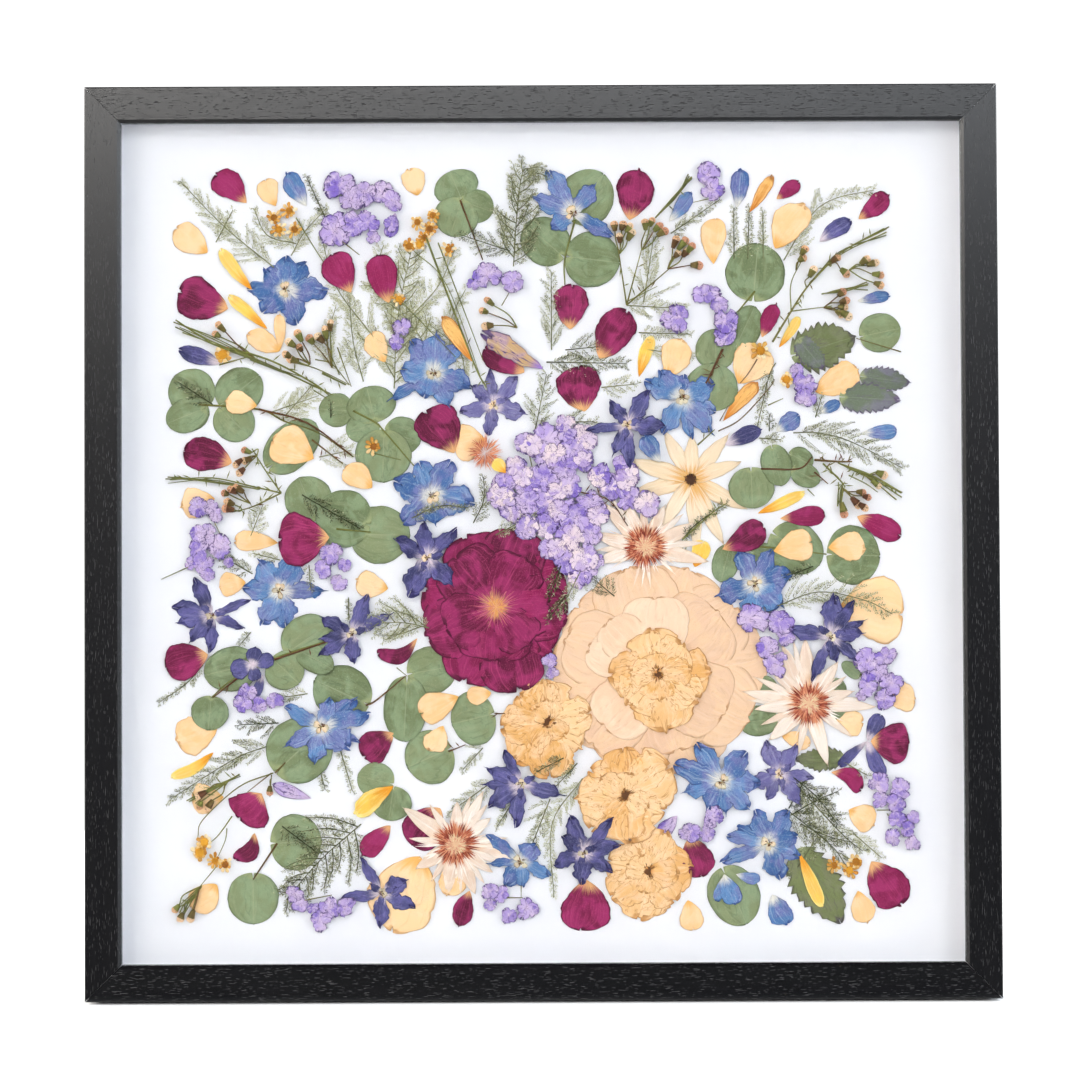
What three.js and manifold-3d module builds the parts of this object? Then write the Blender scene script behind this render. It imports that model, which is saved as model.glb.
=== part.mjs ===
// Pressed flower frame: a square box frame of dark stained oak, glazed at the front,
// with a white card on which dried and pressed flowers, petals and leaves lie.
// Millimetres. +X right, +Z up, the glass faces -Y.
// The origin is the middle of the hanger's toothed edge, on the back of the top rail.

import * as THREE from 'three';
import { mergeVertices } from 'three/addons/utils/BufferGeometryUtils.js';
import Module from 'manifold-3d';

const wasm = await Module();
wasm.setup();

// ---- driving dimensions ----------------------------------------------------------

const outerSize = 530; // outside width and height
const railWidth = 21; // seen from the front
const railDepth = 26;
const sightBevel = 1.8; // slope along the inner front edge
const arris = 0.6; // broken outer front edge
const lipWidth = 6; // how far the rail covers the glass
const lipDepth = 6;
const gap = 0.3; // clearance between pieces that touch
const glassThick = 2;
const spacerWidth = 4;
const spacerThick = 6;
const cardThick = 1.5;
const boardThick = 3;
const sheetPlay = 0.5; // glass, card and board are this much inside the rebate, all round
const tabWide = 14; // steel points that hold the board in
const tabLong = 15;
const tabThick = 0.7;
const tabBite = 5; // length that is pressed into the rail
const hangerLong = 46;
const hangerTall = 9;
const hangerThick = 1;
const toothPitch = 4;
const toothTall = 1.8;

const petalThick = 0.45; // pressed material lies nearly flat
const petalStep = 0.2; // a petal over its neighbour stands this much higher
const levelPitch = 1; // from one layer of specimens to the next
const stemWide = 1.5;
const levelWithin = 0.1; // faces of a joined piece that are this nearly level become one
const sepalReach = 1.05; // corners of a sepal's outline stand a little outside its radius
const spikes = 9; // teeth of an astrantia's ring of florets

// ---- positions worked out from them ----------------------------------------------

const half = outerSize / 2;
const sightHalf = half - railWidth;
const rebateHalf = sightHalf + lipWidth;
const frontY = -railDepth;
const glassY = frontY + lipDepth + gap;
const spacerY = glassY + glassThick + gap;
const cardY = spacerY + spacerThick + gap;
const boardY = cardY + cardThick + gap;
const tabY = boardY + boardThick + gap;
const centreZ = -(half - railWidth / 2); // middle of the picture, below the hanger

// ---- materials -------------------------------------------------------------------

const finish = (colour, roughness, metalness = 0) => ({ colour, roughness, metalness });
const finishes = {
  oak: finish('#2b2a2c', 0.6),
  glass: finish('#f4f8f8', 0.03),
  card: finish('#eef0f4', 0.9),
  spacer: finish('#e9eaee', 0.85),
  board: finish('#8a6a48', 0.85),
  steel: finish('#a9adb2', 0.4, 0.9),
  cream: finish('#f3d2a4', 0.75),
  gold: finish('#eec06a', 0.8),
  burgundy: finish('#8a1d52', 0.7),
  skyBlue: finish('#5b86cf', 0.7),
  indigo: finish('#4c4488', 0.7),
  lilac: finish('#a98fe0', 0.75),
  coral: finish('#d9835c', 0.8),
  leafGreen: finish('#8ea070', 0.7),
};

function material({ colour, roughness, metalness }) {
  return new THREE.MeshStandardMaterial({ color: colour, roughness, metalness });
}

const group = new THREE.Group();

function addPiece(name, geometry, look, place = [0, 0, 0]) {
  const mesh = new THREE.Mesh(geometry, material(look));
  mesh.name = name;
  mesh.position.set(...place);
  group.add(mesh);
  return mesh;
}

// ---- joining and cutting ---------------------------------------------------------

function toSolid(geometry) {
  const bare = geometry.clone();
  bare.deleteAttribute('normal');
  bare.deleteAttribute('uv');
  const merged = mergeVertices(bare, 1e-5);
  const vertProperties = new Float32Array(merged.attributes.position.array);
  const triVerts = new Uint32Array(merged.index.array);
  return new wasm.Manifold(new wasm.Mesh({ numProp: 3, vertProperties, triVerts }));
}

function toGeometry(solid) {
  const mesh = solid.getMesh();
  const geometry = new THREE.BufferGeometry();
  geometry.setAttribute('position', new THREE.BufferAttribute(mesh.vertProperties, 3));
  geometry.setIndex(new THREE.BufferAttribute(mesh.triVerts, 1));
  geometry.computeVertexNormals();
  return geometry;
}

// Joining leaves faces split along their old edges; faces that are level are merged again.
const join = (geometries) => {
  const joined = geometries.map(toSolid).reduce((a, b) => a.add(b));
  return toGeometry(joined.asOriginal().simplify(levelWithin));
};
const cut = (geometry, tools) =>
  toGeometry(tools.map(toSolid).reduce((a, b) => a.subtract(b), toSolid(geometry)));

// ---- flat outlines stood up to face the front --------------------------------------

// A closed outline of [x, z] points as a plate: its back at y = 0, its face at y = -thick.
function plate(points, thick) {
  const shape = new THREE.Shape(points.map(([x, z]) => new THREE.Vector2(x, z)));
  const geometry = new THREE.ExtrudeGeometry(shape, { depth: thick, bevelEnabled: false });
  return geometry.rotateX(Math.PI / 2);
}

function box(width, deep, tall, x = 0, y = 0, z = 0) {
  return new THREE.BoxGeometry(width, deep, tall).translate(x, y, z);
}

// Petal or leaf from base to tip: its half-width follows sin(pi v^skew)^fullness, so a skew
// over 1 puts the widest place towards the tip, and a low fullness makes the ends round.
function bladeOutline(base, tip, width, { skew = 1.25, fullness = 0.6, stations = 3 } = {}) {
  const along = [tip[0] - base[0], tip[1] - base[1]];
  const length = Math.hypot(...along);
  const across = [-along[1] / length, along[0] / length];
  const side = (sign) => Array.from({ length: stations }, (_, i) => {
    const v = (1 - Math.cos((Math.PI * (i + 1)) / (stations + 1))) / 2;
    const h = (sign * width * Math.sin(Math.PI * v ** skew) ** fullness) / 2;
    return [base[0] + along[0] * v + across[0] * h, base[1] + along[1] * v + across[1] * h];
  });
  return [base, ...side(-1), tip, ...side(1).reverse()];
}

function discOutline([x, z], radius, sides, turn = 0) {
  return Array.from({ length: sides }, (_, i) => {
    const angle = turn + (2 * Math.PI * i) / sides;
    return [x + radius * Math.cos(angle), z + radius * Math.sin(angle)];
  });
}

// A round boss with sloping sides, standing on the card side of a flower.
function boss([x, z], radius, height) {
  const profile = [[0, 0], [radius, 0], [radius * 0.7, height * 0.8], [0, height]];
  const geometry = new THREE.LatheGeometry(profile.map(([r, y]) => new THREE.Vector2(r, y)), 9);
  return geometry.rotateX(Math.PI).translate(x, 0, z);
}

// ---- frame -----------------------------------------------------------------------

// One rail: its section carried along the side, with both ends mitred at 45 degrees.
function railGeometry() {
  const section = [
    [sightBevel, 0],
    [railWidth - arris, 0],
    [railWidth, arris],
    [railWidth, railDepth],
    [lipWidth, railDepth],
    [lipWidth, lipDepth],
    [0, lipDepth],
    [0, sightBevel],
  ];
  const count = section.length;
  const positions = [];
  for (const end of [-1, 1]) {
    for (const [out, back] of section) {
      const reach = sightHalf + out - gap / 2;
      positions.push(end * reach, frontY + back, sightHalf + out);
    }
  }
  const cap = THREE.ShapeUtils.triangulateShape(section.map((p) => new THREE.Vector2(...p)), []);
  const index = [];
  for (const [a, b, c] of cap) {
    index.push(a, b, c);
    index.push(count + c, count + b, count + a);
  }
  for (let i = 0; i < count; i += 1) {
    const j = (i + 1) % count;
    index.push(i, count + i, j);
    index.push(count + i, count + j, j);
  }
  const geometry = new THREE.BufferGeometry();
  geometry.setAttribute('position', new THREE.Float32BufferAttribute(positions, 3));
  geometry.setIndex(index);
  return geometry;
}

function addRails() {
  const slot = box(tabWide + 2 * gap, tabThick + 2 * gap, tabBite + gap,
    0, tabY + tabThick / 2, rebateHalf + (tabBite + gap) / 2);
  const turns = { rail_top: 0, rail_left: Math.PI / 2, rail_bottom: Math.PI, rail_right: -Math.PI / 2 };
  for (const [name, turn] of Object.entries(turns)) {
    const rail = cut(railGeometry(), [slot]);
    const mesh = addPiece(name, rail, finishes.oak, [0, 0, centreZ]);
    mesh.rotation.y = -turn;
    const tab = box(tabWide, tabThick, tabLong, 0, tabY + tabThick / 2,
      rebateHalf + tabBite - tabLong / 2);
    const point = addPiece(name.replace('rail', 'tab'), tab, finishes.steel, [0, 0, centreZ]);
    point.rotation.y = -turn;
  }
}

function addSheets() {
  const side = 2 * (rebateHalf - sheetPlay);
  const sheet = (thick, y) => box(side, thick, side, 0, y + thick / 2, 0);
  addPiece('glass_pane', sheet(glassThick, glassY), finishes.glass, [0, 0, centreZ]);
  addPiece('mount_card', sheet(cardThick, cardY), finishes.card, [0, 0, centreZ]);
  addPiece('back_board', sheet(boardThick, boardY), finishes.board, [0, 0, centreZ]);
}

// Four strips under the lip keep the glass off the card; each butts against the next.
function addSpacers() {
  const outside = rebateHalf - sheetPlay;
  const long = 2 * outside - spacerWidth - gap;
  const strip = box(long, spacerThick, spacerWidth,
    -(spacerWidth + gap) / 2, spacerY + spacerThick / 2, outside - spacerWidth / 2);
  ['top', 'right', 'bottom', 'left'].forEach((name, i) => {
    const mesh = addPiece(`spacer_${name}`, strip.clone(), finishes.spacer, [0, 0, centreZ]);
    mesh.rotation.y = (i * Math.PI) / 2;
  });
}

// Saw-toothed steel strip on the back of the top rail, its teeth on the lower edge.
function addHanger() {
  const teeth = 9;
  const first = -((teeth - 1) * toothPitch) / 2;
  const lower = [[-hangerLong / 2, 0]];
  for (let i = 0; i < teeth; i += 1) {
    const x = first + i * toothPitch;
    lower.push([x - toothPitch / 2, 0], [x, toothTall]);
  }
  lower.push([first + (teeth - 0.5) * toothPitch, 0], [hangerLong / 2, 0]);
  const outline = [...lower, [hangerLong / 2, hangerTall], [-hangerLong / 2, hangerTall]];
  const body = plate(outline, hangerThick).translate(0, gap + hangerThick, -toothTall);
  addPiece('sawtooth_hanger', body, finishes.steel);
}

// ---- pressed specimens --------------------------------------------------------------
// Places are [x, z] from the middle of the picture. A level is the layer, from the card up.

function addSpecimen(name, pieces, look, level) {
  const y = cardY - gap - level * levelPitch;
  addPiece(name, join(pieces), look, [0, y, centreZ]);
}

const plates = (outlines) => outlines.map((outline) => plate(outline, petalThick));
const stepped = (outlines) =>
  outlines.map((outline, i) => plate(outline, petalThick + (i % 2) * petalStep));

// A flower seen face on: petals [tipX, tipZ, width] from one centre, and a raised middle.
function addFlower(name, { centre, petals, level = 0, heart = 4 }, look, blade = {}) {
  const outlines = petals.map(([x, z, width]) => bladeOutline(centre, [x, z], width, blade));
  addSpecimen(name, [...stepped(outlines), boss(centre, heart, 1)], look, level);
}

function stemPieces(route, wide = stemWide) {
  return route.slice(1).map(([x, z], i) => {
    const [fromX, fromZ] = route[i];
    const length = Math.hypot(x - fromX, z - fromZ);
    const bar = box(length + wide, petalThick, wide, 0, -petalThick / 2, 0);
    bar.rotateY(-Math.atan2(z - fromZ, x - fromX));
    return bar.translate((x + fromX) / 2, 0, (z + fromZ) / 2);
  });
}

// A eucalyptus sprig: round leaves [baseX, baseZ, tipX, tipZ, width] along a thin stem.
function addSprig(name, { leaves, stem, level = 0 }) {
  const blade = { skew: 0.95, fullness: 0.5, stations: 5 };
  const outlines = leaves.map(([bx, bz, tx, tz, width]) =>
    bladeOutline([bx, bz], [tx, tz], width, blade));
  addSpecimen(name, [...plates(outlines), ...stemPieces(stem)], finishes.leafGreen, level);
}

const delphiniums = [
  { centre: [-149, 148], level: 0, petals: [
    [-161, 160, 13], [-149, 166, 13], [-138, 163, 13], [-127, 148, 14],
    [-143, 130, 14], [-161, 136, 13], [-169, 148, 12]] },
  { centre: [-63, 99], level: 1, petals: [
    [-75, 116, 13], [-61, 121, 15], [-50, 114, 11], [-43, 91, 14],
    [-54, 80, 11], [-68, 86, 15], [-87, 84, 7], [-80, 101, 15]] },
  { centre: [19, 192], level: 1, petals: [
    [6, 215, 12], [-3, 201, 11], [7, 184, 11], [31, 208, 11], [40, 180, 9]] },
  { centre: [82, 84], level: 1, petals: [
    [63, 93, 13], [70, 99, 11], [83, 96, 10], [99, 91, 14],
    [100, 76, 9], [99, 64, 12], [87, 62, 7], [72, 65, 11]] },
  { centre: [-64, 27], level: 1, petals: [
    [-71, 45, 13], [-54, 46, 14], [-84, 35, 16], [-80, 12, 14], [-62, 11, 14], [-42, 23, 17]] },
  { centre: [-153, -28], level: 0, petals: [
    [-165, -11, 14], [-145, -11, 16], [-172, -26, 13], [-163, -46, 13], [-150, -47, 15], [-128, -28, 10]] },
  { centre: [-129, -107], level: 2, petals: [
    [-148, -97, 9], [-124, -92, 10], [-110, -92, 10], [-103, -100, 11],
    [-109, -115, 6], [-114, -119, 16], [-133, -127, 11], [-149, -118, 9]] },
  { centre: [124, -25], level: 1, petals: [
    [115, -6, 12], [133, -7, 10], [143, -20, 14], [139, -38, 16], [123, -43, 15], [103, -32, 14]] },
  { centre: [104, -140], level: 2, petals: [
    [91, -120, 12], [79, -131, 13], [83, -146, 12], [96, -155, 11],
    [106, -158, 10], [119, -155, 11], [124, -141, 13], [117, -125, 14]] },
  { centre: [131, -176], level: 1, petals: [
    [114, -167, 12], [124, -159, 12], [142, -159, 12], [147, -172, 11],
    [147, -183, 11], [137, -195, 13], [106, -186, 9], [109, -172, 8]] },
  { centre: [-13, -186], level: 1, petals: [
    [-31, -172, 7], [-5, -177, 13], [3, -194, 8], [-31, -187, 5], [-22, -200, 10], [-12, -200, 8]] },
];

const larkspurs = [
  { centre: [-28, 80], level: 0, petals: [
    [-30, 99, 6], [-15, 95, 9], [-40, 91, 8], [-46, 76, 9], [-31, 64, 8], [-10, 75, 11]] },
  { centre: [50, 68], level: 3, petals: [
    [62, 86, 10], [69, 67, 11], [51, 45, 8], [42, 51, 8], [29, 65, 6], [41, 81, 8]] },
  { centre: [-67, -9], level: 2, petals: [
    [-84, 1, 10], [-69, 10, 10], [-52, 6, 9], [-77, -29, 14], [-53, -24, 11]] },
  { centre: [-193, -42], level: 0, petals: [
    [-202, -23, 9], [-213, -38, 11], [-212, -46, 9], [-205, -57, 9],
    [-194, -61, 8], [-173, -34, 5], [-176, -49, 6]] },
  { centre: [-111, -53], level: 2, petals: [
    [-128, -44, 8], [-103, -33, 9], [-89, -42, 7], [-129, -56, 6], [-129, -65, 8], [-110, -69, 9]] },
  { centre: [168, -56], level: 2, petals: [
    [170, -33, 13], [180, -38, 8], [187, -47, 6], [186, -54, 8],
    [145, -52, 9], [158, -79, 7], [171, -70, 8], [184, -70, 7]] },
  { centre: [-13, -141], level: 2, petals: [
    [-22, -123, 7], [-32, -132, 9], [-34, -141, 7], [-30, -153, 11], [-16, -163, 9], [10, -147, 9]] },
  { centre: [23, -181], level: 2, petals: [
    [16, -161, 10], [12, -172, 8], [39, -163, 7], [42, -177, 9],
    [38, -191, 9], [22, -197, 11], [8, -187, 9]] },
  { centre: [138, -136], level: 0, petals: [
    [131, -119, 11], [147, -120, 9], [155, -138, 8], [149, -153, 9], [131, -149, 7], [123, -142, 10]] },
  { centre: [-94, -204], level: 1, petals: [
    [-105, -186, 6], [-80, -197, 11], [-77, -212, 9], [-95, -223, 9], [-115, -207, 7]] },
];

const sprigs = [
  { leaves: [[-46, 200, -53, 217, 27], [-46, 201, -53, 179, 26], [-47, 200, -28, 193, 20]],
    stem: [[-47, 200], [-34, 165]] },
  { leaves: [[17, 188, 37, 215, 32], [14, 167, 46, 163, 33], [14, 166, -9, 186, 28]],
    stem: [[20, 188], [14, 165], [14, 150]] },
  { leaves: [[124, 140, 127, 174, 35]], stem: [[125, 146], [115, 134]] },
  { leaves: [[-194, 80, -215, 97, 28], [-196, 79, -219, 70, 20], [-188, 80, -165, 98, 27],
    [-188, 80, -171, 62, 24]], stem: [[-200, 81], [-165, 78], [-150, 71], [-130, 64], [-110, 50]] },
  { leaves: [[-110, 77, -130, 78, 20], [-97, 70, -102, 91, 29], [-92, 66, -71, 58, 23],
    [-92, 66, -93, 35, 33], [-95, 70, -114, 64, 18]],
    stem: [[-110, 77], [-97, 70], [-92, 65], [-74, 44]] },
  { leaves: [[-131, 13, -142, 38, 28], [-100, 10, -132, 18, 34], [-112, 5, -77, 4, 34]],
    stem: [[-120, 8], [-100, 6]] },
  { leaves: [[122, 43, 123, 19, 27], [134, 56, 140, 32, 18], [144, 51, 158, 44, 14],
    [146, 42, 162, 34, 14]], stem: [[128, 42], [150, 42], [158, 49]], level: 1 },
  { leaves: [[110, -2, 104, -24, 16], [134, 5, 162, -14, 30], [166, -8, 197, -9, 35]],
    stem: [[108, -3], [134, -4], [166, -8]] },
  { leaves: [[-150, -65, -124, -47, 28], [-143, -62, -122, -74, 16], [-158, -67, -142, -82, 24],
    [-166, -70, -197, -77, 26], [-193, -89, -195, -109, 22]],
    stem: [[-124, -57], [-158, -68], [-180, -79], [-193, -90]], level: 1 },
  { leaves: [[-101, -95, -133, -80, 32], [-79, -78, -81, -116, 26], [-79, -77, -50, -72, 28]],
    stem: [[-103, -95], [-97, -92], [-80, -78]] },
  { leaves: [[-156, -134, -127, -107, 38]], stem: [[-156, -134], [-150, -128]], level: 1 },
  { leaves: [[-159, -175, -129, -174, 33], [-169, -192, -169, -222, 30]],
    stem: [[-155, -175], [-169, -196]] },
];

const goldRoses = [
  { centre: [67, -77], level: 2, heart: 7, petals: [
    [64, -52, 26], [81, -60, 20], [97, -76, 24], [90, -92, 20],
    [72, -110, 30], [50, -95, 24], [40, -78, 24]] },
  { centre: [3, -105], level: 1, heart: 7, petals: [
    [1, -81, 26], [27, -100, 18], [22, -120, 18], [4, -136, 24],
    [-16, -127, 20], [-23, -108, 20], [-13, -90, 18]] },
  { centre: [48, -148], level: 1, heart: 7, petals: [
    [47, -121, 22], [73, -132, 30], [70, -157, 22], [50, -174, 28],
    [29, -167, 20], [20, -150, 22], [28, -134, 20]] },
  { centre: [61, -192], level: 0, heart: 7, petals: [
    [52, -174, 18], [71, -170, 18], [86, -190, 24], [76, -209, 18],
    [56, -219, 26], [40, -207, 20], [38, -186, 20]] },
];

const burgundyRose = { centre: [-27, -38], level: 1, heart: 8, petals: [
  [-44, 0, 40], [-12, 4, 44], [11, -22, 42], [13, -50, 40], [-3, -76, 38],
  [-22, -85, 34], [-47, -80, 38], [-66, -52, 36], [-66, -25, 28]] };

const creamPeony = { centre: [66, -76], level: 0, heart: 12, petals: [
  [20, -38, 46], [50, -17, 48], [84, -16, 50], [112, -38, 48], [128, -66, 46],
  [118, -104, 50], [92, -131, 48], [48, -133, 46], [18, -108, 44], [8, -68, 44]] };

const starFlower = { centre: [87, 36], level: 0, heart: 5, petals: [
  [72, 64, 7], [88, 62, 7], [109, 62, 7], [115, 46, 7], [119, 19, 8],
  [106, -2, 7], [91, -8, 6], [70, 8, 7], [53, 28, 8], [52, 47, 8]] };

// Bracts [tipX, tipZ, width] round a dense ring of florets.
const astrantias = [
  { centre: [60, -3], level: 1, ring: 15, bracts: [
    [36, 22, 9], [46, 28, 8], [72, 21, 8], [92, 10, 9], [96, -12, 9], [33, 2, 9], [32, -12, 9]] },
  { centre: [155, -95], level: 1, ring: 15, bracts: [
    [140, -62, 10], [153, -57, 10], [172, -71, 9], [181, -88, 8], [193, -97, 8], [166, -131, 9],
    [132, -116, 10], [124, -98, 8], [117, -88, 8], [131, -71, 8]] },
  { centre: [-51, -176], level: 0, ring: 15, bracts: [
    [-81, -155, 10], [-50, -152, 8], [-35, -146, 8], [-31, -161, 8], [-12, -184, 9], [-30, -192, 8],
    [-40, -204, 10], [-56, -204, 10], [-74, -190, 9]] },
];

// Rounded sepals of the big hydrangea head: [x, z, radius].
const hydrangeaSepals = [
  [-15, 43, 7], [-22, 36, 7], [-24, 26, 8], [-18, 20, 7], [-10, 34, 8], [-8, 24, 8],
  [-8, 57, 8], [3, 60, 8], [14, 65, 7], [20, 54, 9], [4, 50, 8], [14, 42, 9], [25, 48, 7],
  [2, 36, 9], [16, 32, 8], [2, 22, 8], [12, 20, 8], [20, 14, 9], [32, 16, 8], [28, 24, 8],
  [34, 38, 7], [40, 31, 8], [50, 40, 9], [46, 46, 6], [58, 22, 8], [50, 26, 7], [-8, 9, 8], [4, 10, 8],
  [16, 3, 9], [29, 4, 8], [4, -4, 8], [14, -10, 8], [26, -8, 8], [24, -17, 8], [30, -12, 6]];

function addAstrantia(name, { centre, ring, level, bracts }) {
  const outlines = bracts.map(([x, z, width]) => bladeOutline(centre, [x, z], width, { skew: 0.9 }));
  const toothed = discOutline(centre, ring, spikes * 2).map(([x, z], i) => {
    const reach = i % 2 ? 0.8 : 1;
    return [centre[0] + (x - centre[0]) * reach, centre[1] + (z - centre[1]) * reach];
  });
  const pieces = [...stepped(outlines), plate(toothed, petalThick + 2 * petalStep), boss(centre, 6, 1.2)];
  addSpecimen(name, pieces, finishes.coral, level);
}

function addSpecimens() {
  const round = { skew: 1.3, fullness: 0.45, stations: 4 };
  addFlower('peony_cream', creamPeony, finishes.cream, round);
  addFlower('rose_burgundy', burgundyRose, finishes.burgundy, round);
  goldRoses.forEach((rose, i) => addFlower(`rose_gold_${i + 1}`, rose, finishes.gold, round));
  addFlower('star_flower', starFlower, finishes.cream, { skew: 0.9, stations: 2 });
  astrantias.forEach((flower, i) => addAstrantia(`astrantia_${i + 1}`, flower));
  const sepals = hydrangeaSepals.map(([x, z, radius], i) =>
    discOutline([x, z], radius * sepalReach, 6, i));
  addSpecimen('hydrangea_head', plates(sepals), finishes.lilac, 2);
  delphiniums.forEach((flower, i) => addFlower(`delphinium_${i + 1}`, flower, finishes.skyBlue));
  larkspurs.forEach((flower, i) =>
    addFlower(`larkspur_${i + 1}`, { heart: 3, ...flower }, finishes.indigo));
  sprigs.forEach((sprig, i) => addSprig(`eucalyptus_${i + 1}`, sprig));
}

addRails();
addSheets();
addSpacers();
addHanger();
addSpecimens();

export default group;
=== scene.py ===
import math
import bpy
import numpy as np
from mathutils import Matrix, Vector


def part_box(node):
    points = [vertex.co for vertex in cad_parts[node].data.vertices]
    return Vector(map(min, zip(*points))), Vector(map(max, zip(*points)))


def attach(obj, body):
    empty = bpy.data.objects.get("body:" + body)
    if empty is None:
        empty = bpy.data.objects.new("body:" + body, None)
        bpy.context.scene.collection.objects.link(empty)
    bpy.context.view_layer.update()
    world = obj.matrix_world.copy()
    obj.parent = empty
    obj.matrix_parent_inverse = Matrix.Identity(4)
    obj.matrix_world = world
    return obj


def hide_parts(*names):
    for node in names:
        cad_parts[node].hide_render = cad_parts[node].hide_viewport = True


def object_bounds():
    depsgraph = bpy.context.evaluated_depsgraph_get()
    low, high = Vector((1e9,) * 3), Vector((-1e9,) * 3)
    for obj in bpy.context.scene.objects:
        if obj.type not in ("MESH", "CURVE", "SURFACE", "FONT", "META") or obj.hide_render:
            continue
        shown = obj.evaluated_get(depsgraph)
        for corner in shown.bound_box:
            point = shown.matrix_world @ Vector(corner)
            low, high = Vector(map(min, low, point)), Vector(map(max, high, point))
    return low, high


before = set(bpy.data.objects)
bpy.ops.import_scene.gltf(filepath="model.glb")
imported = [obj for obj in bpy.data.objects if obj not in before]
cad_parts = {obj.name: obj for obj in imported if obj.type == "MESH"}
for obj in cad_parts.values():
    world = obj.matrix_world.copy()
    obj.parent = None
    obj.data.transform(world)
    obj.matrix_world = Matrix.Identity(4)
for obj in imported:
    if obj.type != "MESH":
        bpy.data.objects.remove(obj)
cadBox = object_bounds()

# Pressed flower frame. Lists are in millimetres from the middle of the picture: x to the right,
# z up. Depth is how far something stands off the card towards the glass.

cardLow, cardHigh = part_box("mount_card")
middle = (cardLow + cardHigh) / 2
mm = 0.001
fullTurn = 6.28


def toMetres(points):  # (x, depth, z) in millimetres to the frame's own axes
    points = np.asarray(points, float)
    world = np.empty_like(points)
    world[..., 0] = middle.x + points[..., 0] * mm
    world[..., 1] = cardLow.y - points[..., 1] * mm
    world[..., 2] = middle.z + points[..., 2] * mm
    return world


def levelOf(node):  # height of a node's back over the card, in millimetres
    return (cardLow.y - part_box(node)[1].y) / mm


class Bundle:  # gathers many small surfaces into one mesh
    def __init__(self):
        self.points = []
        self.uvs = []
        self.tones = []
        self.faces = {3: [], 4: []}  # corners per face to lists of vertex numbers
        self.count = 0

    def add(self, points, uvs, tone, faces):
        points = np.asarray(points, float).reshape(-1, 3)
        self.points.append(points)
        self.uvs.append(np.asarray(uvs, float).reshape(-1, 2))
        self.tones.append(np.broadcast_to(np.asarray(tone, float).ravel(), (len(points),)))
        for corners, rows in faces.items():
            self.faces[corners].append(np.asarray(rows, int) + self.count)
        self.count += len(points)

    def grid(self, points, uvs, tone):
        # a sheet: quads between neighbouring rows and columns, facing the glass
        rows, cols = points.shape[:2]
        first = (np.arange(rows - 1)[:, None] * cols + np.arange(cols - 1)).ravel()
        quads = np.stack([first, first + 1, first + cols + 1, first + cols], 1)
        self.add(points, uvs, tone, {4: quads})

    def tube(self, points, uvs, tone):
        # rings of points joined round and along, with a flat cap on each end
        rings, sides = points.shape[:2]
        ring = np.arange(rings - 1)[:, None] * sides
        here = np.arange(sides)
        there = (here + 1) % sides
        quads = np.stack([ring + here, ring + there, ring + sides + there, ring + sides + here], -1)
        fan = np.arange(0, sides - 2, 2)
        cap = np.stack([np.zeros_like(fan), fan + 1, fan + 2, (fan + 3) % sides], 1)
        self.add(points, uvs, tone, {4: np.concatenate([
            quads.reshape(-1, 4), cap[:, ::-1], cap + (rings - 1) * sides])})

    def mesh(self, name):
        made = bpy.data.meshes.new(name)
        points = toMetres(np.concatenate(self.points))
        made.vertices.add(len(points))
        made.vertices.foreach_set("co", points.ravel())
        parts = [(corners, np.concatenate(rows)) for corners, rows in self.faces.items() if rows]
        corner = np.concatenate([rows.ravel() for _, rows in parts])
        sizes = np.concatenate([np.full(len(rows), corners) for corners, rows in parts])
        made.loops.add(len(corner))
        made.loops.foreach_set("vertex_index", corner.astype(np.int32))
        made.polygons.add(len(sizes))
        made.polygons.foreach_set("loop_start", (np.cumsum(sizes) - sizes).astype(np.int32))
        made.update(calc_edges=True)
        made.polygons.foreach_set("use_smooth", sizes > 3)  # needles stay flat
        uv = made.uv_layers.new(name="petalMap")
        uv.data.foreach_set("uv", np.concatenate(self.uvs)[corner].ravel())
        tone = made.attributes.new("tone", "FLOAT", "POINT")
        tone.data.foreach_set("value", np.concatenate(self.tones).astype(np.float32))
        made.validate()
        return made


petalThick, sepalThick, leafThick = 0.25, 0.2, 0.28


def makePiece(name, bundle, finish, nodes=(), thick=0.0):
    piece = bpy.data.objects.new(name, bundle.mesh(name))
    bpy.context.scene.collection.objects.link(piece)
    piece.data.materials.append(finishes[finish])
    if thick:  # a sheet gets its thickness towards the card
        solid = piece.modifiers.new("thickness", "SOLIDIFY")
        solid.thickness = thick * mm
        solid.offset = -1
    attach(piece, "root")
    if nodes:
        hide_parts(*nodes)


def ripple(x, z, pitch, draw, waves=5):
    # sum of plane sine waves of about one pitch, each with its own direction and phase
    total = np.zeros_like(x)
    for _ in range(waves):
        turn, phase = draw.uniform(0, 2 * np.pi, 2)
        wave = 2 * np.pi / (pitch * draw.uniform(0.7, 1.5))
        total += np.sin((x * np.cos(turn) + z * np.sin(turn)) * wave + phase)
    return total / waves


petalShape = {
    "rows": 15, "cols": 11, "neck": 0.95, "round": 0.42, "bend": 0.0, "notch": 0.0, "crown": 0.3,
    "crumple": 0.15, "pitch": 7.0, "ragged": 0.03, "heart": 0.0, "folds": 0.0, "foldCount": 6,
    "teeth": 0.0, "toothCount": 9}
edgeWaves = ((9, 2, 1.0), (21, 1, 0.7), (43, -1, 0.5))  # pitch, shift between the sides, strength


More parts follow.
